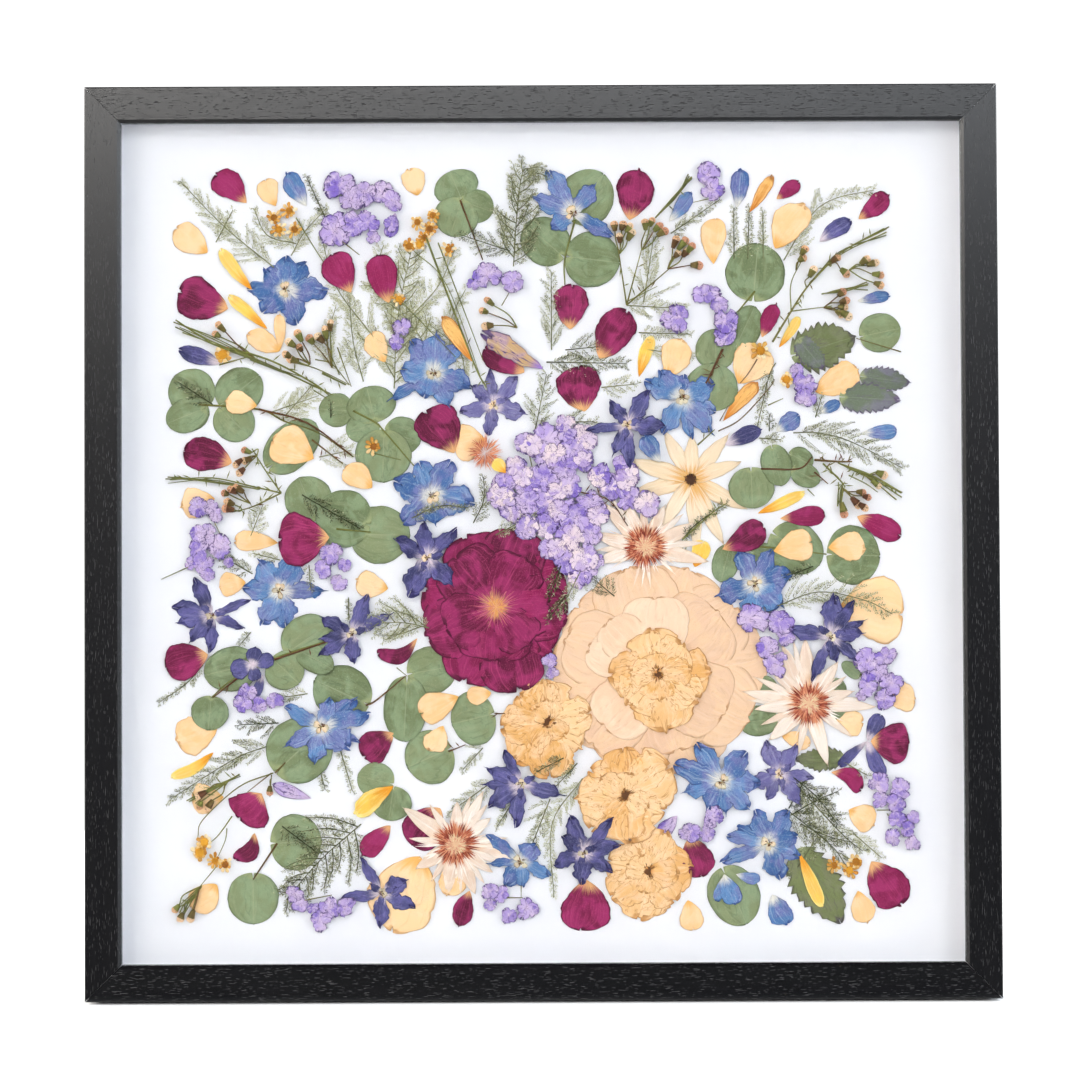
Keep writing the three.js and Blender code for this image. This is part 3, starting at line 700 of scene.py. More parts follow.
goldRoses = [
    ((67, -77), [
        (64, -52, 26), (81, -60, 20), (97, -76, 24), (90, -92, 20), (72, -110, 30), (50, -95, 24),
        (40, -78, 24)]),
    ((3, -105), [
        (1, -81, 26), (27, -100, 18), (22, -120, 18), (4, -136, 24), (-16, -127, 20), (-23, -108, 20),
        (-13, -90, 18)]),
    ((48, -148), [
        (47, -121, 22), (73, -132, 30), (70, -157, 22), (50, -174, 28), (29, -167, 20), (20, -150, 22),
        (28, -134, 20)]),
    ((61, -192), [
        (52, -174, 18), (71, -170, 18), (86, -190, 24), (76, -209, 18), (56, -219, 26), (40, -207, 20),
        (38, -186, 20)])]
goldRose = {
    "wider": 4, "innerReach": 0.55, "innerWidth": 0.7, "scatter": 3, "heart": 3.5, "stamens": 80,
    "shape": {"neck": 0.75, "round": 0.38, "crumple": 0.4, "ragged": 0.07, "pitch": 5, "rows": 25,
              "cols": 21, "folds": 0.35, "foldCount": 9}}


def addGoldRoses():
    draw = np.random.default_rng(21)
    hearts = Bundle()
    rose, scatter = goldRose, goldRose["scatter"]
    for i, (centre, petals) in enumerate(goldRoses):
        node = f"rose_gold_{i + 1}"
        level = levelOf(node)
        bundle = Bundle()
        outer = [(x, z, width + rose["wider"]) for x, z, width in petals]
        flowerSheets(bundle, centre, outer, level + 0.1, draw, **rose["shape"])
        inner = [(centre[0] + rose["innerReach"] * (x - centre[0]) + draw.uniform(-scatter, scatter),
                  centre[1] + rose["innerReach"] * (z - centre[1]) + draw.uniform(-scatter, scatter),
                  width * rose["innerWidth"]) for x, z, width in petals[::2]]
        flowerSheets(bundle, centre, inner, level + 0.45, draw, **rose["shape"])
        makePiece(f"goldRosePetals{i + 1}", bundle, "gold", [node], petalThick)
        dome(hearts, centre, rose["heart"], 0.5, level + 0.8, 0.3, 0.12, draw)
        starts, ends = sprinkle(centre, 2.0, 2 * rose["heart"], rose["stamens"], draw)
        needles(hearts, starts, ends, 0.4, level + 1.0, draw.uniform(0.2, 1, rose["stamens"]), 0.25)
    makePiece("goldRoseHearts", hearts, "stamen")


burgundyRose = {
    "centre": (-27, -38),
    "outer": [
        (-44, 3, 38), (-12, 6, 38), (10, -17, 38), (14, -44, 32), (5, -64, 32), (-14, -86, 38),
        (-45, -81, 38), (-67, -55, 36), (-68, -27, 34)],
    "inner": [(-51, -9, 40), (-11, -9, 34), (4, -36, 36), (-8, -60, 28), (-29, -69, 44), (-56, -50, 34)],
    "streaks": ((8.0, 60, 0.6, (0.5, 1.0)), (17.0, 70, 0.28, (0.0, 0.4))),  # reach, count, width, tones
    "shape": {"neck": 0.8, "round": 0.34, "crumple": 0.35, "rows": 31, "cols": 25, "ragged": 0.03,
              "pitch": 9, "folds": 0.15, "foldCount": 7}}


def addBurgundyRose():
    draw = np.random.default_rng(31)
    rose, level = burgundyRose, levelOf("rose_burgundy")
    petals = Bundle()
    flowerSheets(petals, rose["centre"], rose["outer"], level + 0.1, draw, **rose["shape"])
    flowerSheets(petals, rose["centre"], rose["inner"], level + 0.6, draw, **rose["shape"])
    makePiece("burgundyRosePetals", petals, "burgundy", ["rose_burgundy"], petalThick)
    streaks = Bundle()
    for reach, count, width, tones in rose["streaks"]:
        starts, ends = sprinkle(rose["centre"], reach * 0.3, reach, count, draw, 0.05)
        needles(streaks, starts, ends, width, level + 1.5, draw.uniform(*tones, count), 0.12)
    makePiece("burgundyRoseStreaks", streaks, "streak")


creamPeony = {
    "centre": (66, -76),
    "outer": [
        (20, -38, 46), (50, -16, 50), (86, -17, 52), (112, -38, 48), (129, -66, 48), (120, -104, 50),
        (92, -131, 48), (48, -133, 46), (16, -108, 44), (7, -68, 46)],
    "inner": [(103, -42, 50), (106, -100, 46), (78, -122, 44), (28, -118, 40), (14, -56, 44)],
    "white": [(66, -33, 40), (38, -47, 28), (27, -62, 26), (36, -108, 38)],
    "rings": (("outer", "Petals", "peony", 0.05), ("inner", "Inner", "peony", 0.5),
              ("white", "White", "peonyWhite", 0.9)),
    "shape": {"neck": 0.75, "round": 0.32, "crumple": 0.25, "rows": 31, "cols": 25, "ragged": 0.02,
              "pitch": 12, "folds": 0.1, "foldCount": 12}}


def addCreamPeony():
    draw = np.random.default_rng(41)
    peony, level = creamPeony, levelOf("peony_cream")
    for ring, part, finish, lift in peony["rings"]:
        petals = Bundle()
        flowerSheets(petals, peony["centre"], peony[ring], level + lift, draw, **peony["shape"])
        replaced = ["peony_cream"] if ring == "outer" else ()
        makePiece(f"creamPeony{part}", petals, finish, replaced, sepalThick)


starFlower = {
    "centre": (87, 36),
    "petals": [
        (72, 64, 9), (88, 62, 9), (109, 62, 9), (115, 46, 9), (119, 19, 10), (106, -2, 9), (91, -8, 8),
        (70, 8, 9), (53, 28, 10), (52, 47, 10)],
    "heart": 3.4, "stamens": 50, "shape": {"neck": 0.5, "round": 0.7, "ragged": 0.05}}


def addStarFlower():
    draw = np.random.default_rng(51)
    star, level = starFlower, levelOf("star_flower")
    petals = Bundle()
    flowerSheets(petals, star["centre"], star["petals"], level + 0.1, draw, **star["shape"])
    makePiece("starFlowerPetals", petals, "star", ["star_flower"], petalThick)
    heart = Bundle()
    dome(heart, star["centre"], star["heart"], 0.6, level + 0.6, 0.1, 0.1, draw)
    starts, ends = sprinkle(star["centre"], 2.5, 5.0, star["stamens"], draw)
    needles(heart, starts, ends, 0.4, level + 0.8, draw.uniform(0, 1, star["stamens"]), 0.2)
    makePiece("starFlowerHeart", heart, "stamen")


# florets of four sepals: (x, z, radius)
hydrangeaHead = [
    (-15, 43, 7), (-22, 36, 7), (-24, 26, 8), (-18, 20, 7), (-10, 34, 8), (-8, 24, 8), (-8, 57, 8),
    (3, 60, 8), (14, 65, 7), (20, 54, 9), (4, 50, 8), (14, 42, 9), (25, 48, 7), (2, 36, 9), (16, 32, 8),
    (2, 22, 8), (12, 20, 8), (20, 14, 9), (32, 16, 8), (28, 24, 8), (34, 38, 7), (40, 31, 8), (50, 40, 9),
    (46, 46, 6), (58, 22, 8), (50, 26, 7), (-8, 9, 8), (4, 10, 8), (16, 3, 9), (29, 4, 8), (4, -4, 8),
    (14, -10, 8), (26, -8, 8), (24, -17, 8), (30, -12, 6)]

looseFlorets = [
    (-117, 209, 8), (-110, 201, 6), (-103, 205, 7), (-93, 205, 7), (-87, 200, 6), (-87, 186, 5),
    (-120, 183, 9), (-108, 186, 7), (-101, 187, 6), (-98, 179, 4), (-81, 125, 5), (-84, 117, 4),
    (-31, 157, 8), (-40, 151, 4), (-16, 152, 7), (98, 214, 7), (100, 205, 6), (80, 131, 8), (96, 144, 7),
    (104, 137, 5), (107, 128, 8), (108, 119, 6), (110, 126, 4), (-200, 21, 6), (-194, 22, 5), (-190, 16, 4),
    (-200, 6, 5), (-195, 4, 6), (-200, -4, 6), (-188, -3, 7), (-204, -11, 4), (-198, -12, 6),
    (-195, -18, 4), (-183, -11, 3), (-10, 58, 6.5), (-9, 8, 6), (149, 99, 4), (154, 92, 6), (155, 83, 6),
    (-123, -6, 6), (-128, -15, 5), (-115, -13, 4.5), (-119, -23, 4.5), (-171, -87, 6), (-174, -94, 5),
    (-166, -95, 5), (-157, -92, 5), (4, -69, 4), (6, -76, 3.5), (121, -46, 9), (138, -46, 7.5),
    (142, -55, 5), (130, -62, 7), (139, -68, 3), (135, -73, 6.5), (190, -70, 7), (200, -67, 6),
    (195, -77, 6), (189, -84, 6), (203, -83, 6), (199, -92, 6), (185, -91, 3), (-145, -204, 5),
    (-141, -211, 5), (-124, -212, 6), (-115, -212, 6), (-130, -219, 6), (-134, -212, 3), (-31, -203, 5),
    (-24, -204, 5), (-31, -211, 4), (-20, -217, 5), (-10, -213, 6), (-5, -214, 3), (99, -160, 6.5),
    (85, -169, 6), (95, -170, 5), (195, -141, 6), (208, -145, 6), (196, -151, 5), (205, -153, 5),
    (215, -162, 4), (206, -163, 5), (212, -168, 4), (203, -173, 5), (214, -176, 5)]
sepalShape = {"neck": 0.6, "round": 0.36, "crumple": 0.16, "pitch": 4, "ragged": 0.11, "rows": 13, "cols": 11}
hydrangea = {"size": 0.9, "paleSize": 0.82, "paleShift": 2.5, "looseDepth": 2.6, "step": 0.25}


def floret(bundle, x, z, radius, depth, draw):
    # four broad sepals, each of its own size, whose narrow ends meet near one point
    for i, turn in enumerate(draw.uniform(0, 1.57) + np.arange(4) * 1.57):
        turn += draw.uniform(-0.35, 0.35)
        far = radius * draw.uniform(0.8, 1.25)
        foot = pointAt((x, z), -0.1 * far, turn)
        tip = pointAt((x, z), far, turn)
        bladeSheet(bundle, foot, tip, far * draw.uniform(0.95, 1.35), depth + 0.15 * (i % 2), draw,
                   notch=draw.uniform(0, 0.1), **sepalShape)


def addHydrangeas():
    draw = np.random.default_rng(61)
    level = levelOf("hydrangea_head")
    head, paleSepals, loose = Bundle(), Bundle(), Bundle()
    for i, (x, z, radius) in enumerate(hydrangeaHead):
        floret(head, x, z, radius * hydrangea["size"], level + 0.1 + hydrangea["step"] * (i % 3), draw)
    for i, (x, z, radius) in enumerate(hydrangeaHead):  # faded ones, every second under the others
        x, z = (x, z) + draw.normal(0, hydrangea["paleShift"], 2)
        floret(paleSepals, x, z, radius * hydrangea["paleSize"], level + (0.05 if i % 2 else 0.7), draw)
    for i, (x, z, radius) in enumerate(looseFlorets):
        floret(loose, x, z, radius, hydrangea["looseDepth"] + hydrangea["step"] * (i % 3), draw)
    makePiece("hydrangeaSepals", head, "lilac", ["hydrangea_head"], sepalThick)
    makePiece("hydrangeaPaleSepals", paleSepals, "paleLilac", (), sepalThick)
    makePiece("looseFlorets", loose, "lilac", (), sepalThick)


# (middle, lift, bracts), and a bract is (tipX, tipZ, width)
astrantias = [
    ((60, -3), 0, [
        (36, 22, 9), (46, 28, 8), (72, 21, 8), (92, 10, 9), (96, -12, 9), (33, 2, 9), (32, -12, 9)]),
    ((155, -95), 0, [
        (140, -62, 10), (153, -57, 10), (172, -71, 9), (181, -88, 8), (193, -97, 8), (166, -131, 9),
        (132, -116, 10), (124, -98, 8), (117, -88, 8), (131, -71, 8)]),
    ((-51, -176), 0.9, [
        (-81, -155, 10), (-50, -152, 8), (-35, -146, 8), (-31, -161, 8), (-12, -184, 9), (-30, -192, 8),
        (-40, -204, 10), (-56, -204, 10), (-74, -190, 9)])]
astrantia = {
    "ring": 15, "bractShape": {"neck": 0.5, "round": 0.75, "folds": 0.15, "foldCount": 4},
    "betweenWidth": 5, "betweenRound": 0.8, "florets": ((1.0, 260, 0.7), (0.72, 190, 1.0)),
    "whiskers": 44, "middle": 4.0, "middleNeedles": 140, "faded": (-33, 52), "fadedNeedles": 110}


def addAstrantias():
    draw = np.random.default_rng(71)
    florets, middles, whiskers = Bundle(), Bundle(), Bundle()
    parts, ring, shape = astrantia, astrantia["ring"], astrantia["bractShape"]
    for i, (centre, lift, bractTips) in enumerate(astrantias):
        node = f"astrantia_{i + 1}"
        level = levelOf(node) + lift
        bracts = Bundle()
        around = np.array(bractTips, float)
        between = (around + np.roll(around, 1, axis=0)) / 2  # shorter, narrower ones in the gaps
        between[:, 2] = parts["betweenWidth"]
        flowerSheets(bracts, centre, between, level, draw, **{**shape, "round": parts["betweenRound"]})
        flowerSheets(bracts, centre, bractTips, level + 0.1, draw, **shape)
        makePiece(f"astrantiaBracts{i + 1}", bracts, "bract", [node], petalThick)
        for part, count, rise in parts["florets"]:
            reach = ring * part
            starts, ends = sprinkle(centre, reach * 0.35, reach, count, draw, 0.15)
            needles(florets, starts, ends, draw.uniform(0.6, 1.1, count),
                    level + rise + draw.uniform(0, 0.3, count), draw.uniform(0, 1, count), 0.3)
        count = parts["whiskers"]
        starts, ends = sprinkle(centre, ring * 0.8, ring * 1.7, count, draw, 0.06)
        needles(whiskers, starts, ends, draw.uniform(0.8, 1.6, count), level + 0.6,
                draw.uniform(0.3, 1, count), 0.1)
        dome(middles, centre, parts["middle"], 0.5, level + 1.2, 0.6, 0.15, draw)
        count = parts["middleNeedles"]
        starts, ends = sprinkle(centre, 3.0, 2 * parts["middle"], count, draw, 0.3)
        needles(middles, starts, ends, 0.55, level + 1.5, draw.uniform(0, 1, count), 0.3)
    count = parts["fadedNeedles"]
    starts, ends = sprinkle(parts["faded"], 4.0, 12.0, count, draw, 0.3)
    needles(florets, starts, ends, 0.6, 3.0, draw.uniform(0.4, 1, count), 0.3)
    makePiece("astrantiaFlorets", florets, "coral")
    makePiece("astrantiaWhiskers", whiskers, "whisker")
    makePiece("astrantiaMiddles", middles, "pale")


# sprigs of leaves, (baseX, baseZ, tipX, tipZ, width), and the stem that they share
eucalyptus = [
    ([(-46, 200, -53, 217, 27), (-46, 201, -53, 179, 26), (-47, 200, -28, 193, 20)],
     [(-47, 200), (-34, 165)]),
    ([(17, 188, 37, 215, 32), (14, 167, 46, 163, 33), (14, 166, -9, 186, 28)],
     [(20, 188), (14, 165), (14, 150)]),
    ([(124, 140, 127, 174, 35)], [(125, 146), (115, 134)]),
    ([(-194, 80, -215, 97, 28), (-196, 79, -219, 70, 20), (-188, 80, -165, 98, 27),
      (-188, 80, -171, 62, 24)],
     [(-200, 81), (-165, 78), (-150, 71), (-130, 64), (-110, 50)]),
    ([(-110, 77, -130, 78, 20), (-97, 70, -102, 91, 29), (-92, 66, -71, 58, 23), (-92, 66, -93, 35, 33),
      (-95, 70, -114, 64, 18)],
     [(-110, 77), (-97, 70), (-92, 65), (-74, 44)]),
    ([(-131, 13, -142, 38, 28), (-100, 10, -132, 18, 34), (-112, 5, -77, 4, 34)], [(-120, 8), (-100, 6)]),
    ([(122, 43, 123, 19, 27), (134, 56, 140, 32, 18), (144, 51, 158, 44, 14), (146, 42, 162, 34, 14)],
     [(128, 42), (150, 42), (158, 49)]),
    ([(110, -2, 104, -24, 16), (134, 5, 162, -14, 30), (166, -8, 197, -9, 35)],
     [(108, -3), (134, -4), (166, -8)]),
    ([(-150, -65, -124, -47, 28), (-143, -62, -122, -74, 16), (-158, -67, -142, -82, 24),
      (-166, -70, -197, -77, 26), (-193, -89, -195, -109, 22)],
     [(-124, -57), (-158, -68), (-180, -79), (-193, -90)]),
    ([(-101, -95, -133, -80, 32), (-79, -78, -81, -116, 26), (-79, -77, -50, -72, 28)],
     [(-103, -95), (-97, -92), (-80, -78)]),
    ([(-156, -134, -127, -107, 38)], [(-156, -134), (-150, -128)]),
    ([(-159, -175, -129, -174, 33), (-169, -192, -169, -222, 30)], [(-155, -175), (-169, -196)])]

# single leaves, with their height over the card as well
looseLeaves = [
    (102, 100, 102, 124, 24, 0.5), (98, 76, 101, 104, 31, 0.8), (113, 112, 125, 137, 20, 0.5),
    (186, 119, 210, 124, 23, 0.6), (-160, 43, -132, 70, 26, 0.5), (-28, -100, -53, -106, 32, 0.6),
    (-53, -120, -79, -131, 32, 0.6), (-87, -141, -108, -136, 21, 0.5), (-87, -142, -90, -162, 24, 0.7),
    (104, -190, 118, -223, 30, 0.5), (137, -104, 114, -106, 18, 0.5), (135, -90, 126, -80, 12, 0.5),
    (167, -82, 176, -90, 11, 0.5), (167, -104, 177, -98, 10, 0.5), (185, -80, 175, -71, 8, 0.6),
    (121, -6, 140, -13, 16, 0.6), (-213, 76, -194, 76, 20, 0.3)]

serratedLeaves = [
    (146, 108, 183, 119, 26, 0.6), (176, -127, 148, -128, 13, 0.6), (147, -180, 172, -221, 27, 0.6)]

duskyLeaves = [
    (150, 118, 164, 101, 14, 0.8), (186, 96, 215, 92, 14, 0.6), (174, 84, 208, 82, 17, 0.8)]

leafShape = {"neck": 0.46, "round": 0.5, "rows": 19, "cols": 13, "crumple": 0.12, "ragged": 0.012,
             "pitch": 14, "crown": 0.25, "heart": 0.11}
toothedShape = {**leafShape, "ragged": 0.05, "teeth": 0.3, "rows": 61, "round": 0.6}


def addLeaves():
    draw = np.random.default_rng(81)
    twigs = Bundle()
    for i, (leaves, stem) in enumerate(eucalyptus):
        node = f"eucalyptus_{i + 1}"
        level = levelOf(node)
        sprig = Bundle()
        for j, (bx, bz, tx, tz, width) in enumerate(leaves):
            bladeSheet(sprig, (bx, bz), (tx, tz), width, level + 0.1 + 0.2 * (j % 2), draw, **leafShape)
        makePiece(f"eucalyptusLeaves{i + 1}", sprig, "leaf", [node], leafThick)
        stemTube(twigs, stem, 0.6, level + 0.2, draw.uniform(0, 0.6))
    makePiece("eucalyptusStems", twigs, "stem")
    for name, leaves, finish, shape in (("looseLeaves", looseLeaves, "leaf", leafShape),
                                        ("serratedLeaves", serratedLeaves, "serrated", toothedShape),
                                        ("duskyLeaves", duskyLeaves, "dusky", toothedShape)):
        loose = Bundle()
        for bx, bz, tx, tz, width, depth in leaves:
            bladeSheet(loose, (bx, bz), (tx, tz), width, depth, draw, **shape)
        makePiece(name, loose, finish, (), leafThick)


# (baseX, baseZ, tipX, tipZ, width, depth, bend), where the last two may be left out
loosePetals = {
    "burgundy": [
        (-172, 199, -190, 216, 17), (-183, 137, -211, 147, 25), (-111, 146, -122, 168, 20, 1.5),
        (-89, 140, -95, 168, 18, 1.5), (-10, 99, -33, 113, 18, 1.0), (52, 188, 57, 217, 22),
        (17, 124, 18, 150, 20, 1.0), (34, 107, 50, 134, 22, 1.0), (138, 200, 151, 210, 9),
        (186, 188, 203, 202, 12), (129, 119, 137, 138, 10), (-181, 47, -208, 54, 20),
        (-124, 3, -153, 2, 32, 2.0), (-51, 52, -68, 76, 27, 1.0), (25, 76, 22, 102, 26),
        (105, -5, 129, 8, 17, 2.3), (139, 13, 165, 15, 12), (184, 14, 209, 3, 14),
        (-195, -65, -219, -72, 22, 1.6), (-73, -56, -96, -65, 10, 0.5, 0.5),
        (191, -117, 213, -118, 24, 1.0), (-164, -146, -177, -160, 26),
        (-168, -169, -179, -184, 11, 0.5, 0.4), (-87, -111, -104, -125, 19),
        (-60, -155, -76, -177, 24, 0.2), (-89, -165, -105, -182, 13), (-43, -203, -49, -223, 12),
        (25, -197, 21, -226, 29), (85, -173, 92, -195, 20), (168, -135, 185, -145, 11, 0.5, 0.4),
        (191, -187, 208, -212, 24)],
    "cream": [
        (-155, 197, -161, 212, 13), (-195, 170, -213, 184, 17), (-153, 112, -171, 122, 13, 0.6),
        (-153, 112, -153, 133, 7), (-72, 203, -77, 218, 14), (-91, 105, -99, 122, 14),
        (101, 162, 102, 188, 15), (74, 96, 82, 118, 18, 1.0), (137, 171, 154, 196, 20, 1.2),
        (-166, 80, -184, 83, 14, 1.5), (-133, 49, -157, 60, 24, 1.5), (-191, 26, -210, 21, 18),
        (-99, 32, -115, 43, 15, 1.4), (-32, 59, -51, 56, 22), (115, 92, 130, 112, 24),
        (160, 87, 185, 100, 19), (-189, -105, -213, -115, 22, 0.3), (-90, -27, -108, -22, 15),
        (-49, -90, -71, -100, 18, 1.5), (-30, -88, -44, -90, 11, 1.4), (-58, -107, -66, -121, 14, 1.5),
        (172, -41, 210, -43, 39), (200, -92, 217, -93, 17), (169, -106, 186, -106, 15),
        (135, -6, 157, -1, 19, 1.5), (167, -4, 188, -5, 17, 1.5), (-186, -148, -204, -148, 18),
        (-190, -199, -205, -212, 17), (-72, -183, -88, -225, 40), (-49, -186, -56, -205, 16, 1.2),
        (84, -209, 87, -226, 14), (178, -157, 192, -166, 16), (183, -204, 188, -222, 14),
        (139, -113, 155, -119, 10), (-154, 0, -179, 1, 12), (-173, -23, -188, -26, 14)],
    "ochre": [(-40, 105, -57, 131, 9, 2.4), (122, 192, 135, 213, 7), (106, 70, 126, 92, 9)],
    "yellow": [
        (-169, 148, -187, 171, 8, 1.3), (-160, 125, -182, 144, 7, 1.3), (57, 96, 65, 120, 8),
        (139, 113, 151, 131, 6), (-21, 40, -28, 47, 8, 4.0), (126, 16, 153, 28, 7),
        (89, -15, 94, 0, 11, 1.0), (-192, -122, -216, -136, 7, 0.5, 0.4), (-87, -142, -109, -158, 12, 1.5),
        (149, -182, 162, -213, 8, 1.4)],
    "blue": [
        (-137, 197, -148, 216, 12), (75, 187, 88, 204, 9), (115, 195, 117, 217, 11),
        (185, 140, 203, 143, 7), (69, 46, 60, 61, 11, 4.5), (163, 75, 174, 81, 7), (137, 64, 150, 73, 11),
        (187, 63, 207, 64, 9), (133, -206, 142, -223, 14), (112, -194, 126, -197, 7, 1.4),
        (105, -194, 112, -211, 12, 1.6), (104, -196, 101, -209, 6, 1.4)],
    "indigo": [
        (-187, 105, -211, 113, 10), (163, 175, 181, 187, 10), (107, 56, 128, 65, 10, 1.0),
        (-169, -71, -181, -75, 12, 2.4), (-169, -71, -167, -61, 9, 2.6), (-169, -71, -157, -68, 9, 2.4),
        (-169, -71, -167, -80, 8, 2.6), (-163, -77, -168, -90, 6, 1.4), (189, -117, 197, -102, 10),
        (189, -117, 173, -131, 6, 0.6), (189, -117, 198, -137, 9, 0.7)],
    "lilac": [(-85, 193, -89, 179, 8), (-135, -149, -157, -141, 8), (78, -160, 68, -171, 9)],
    "dried": [(1, 101, -31, 120, 12, 1.8)]}
usualDepthAndBend = (0.5, 0)
looseShape = {"crumple": 0.25, "folds": 0.1, "pitch": 6, "rows": 25, "cols": 17}
driedRagged = 0.07


def addLoosePetals():
    draw = np.random.default_rng(91)
    for kind, petals in loosePetals.items():
        bundle = Bundle()
        for petal in petals:
            bx, bz, tx, tz, width, depth, bend = petal + usualDepthAndBend[len(petal) - 5:]
            varied = {"bend": bend + draw.uniform(-0.09, 0.09), "notch": draw.uniform(-0.05, 0.04),
                      "neck": draw.uniform(0.75, 1.0), "round": draw.uniform(0.36, 0.5),
                      "ragged": draw.uniform(0.02, 0.05) + (driedRagged if kind == "dried" else 0)}
            bladeSheet(bundle, (bx, bz), (tx, tz), width, depth, draw, **looseShape, **varied)
        makePiece(f"{kind}LoosePetals", bundle, kind, (), petalThick)


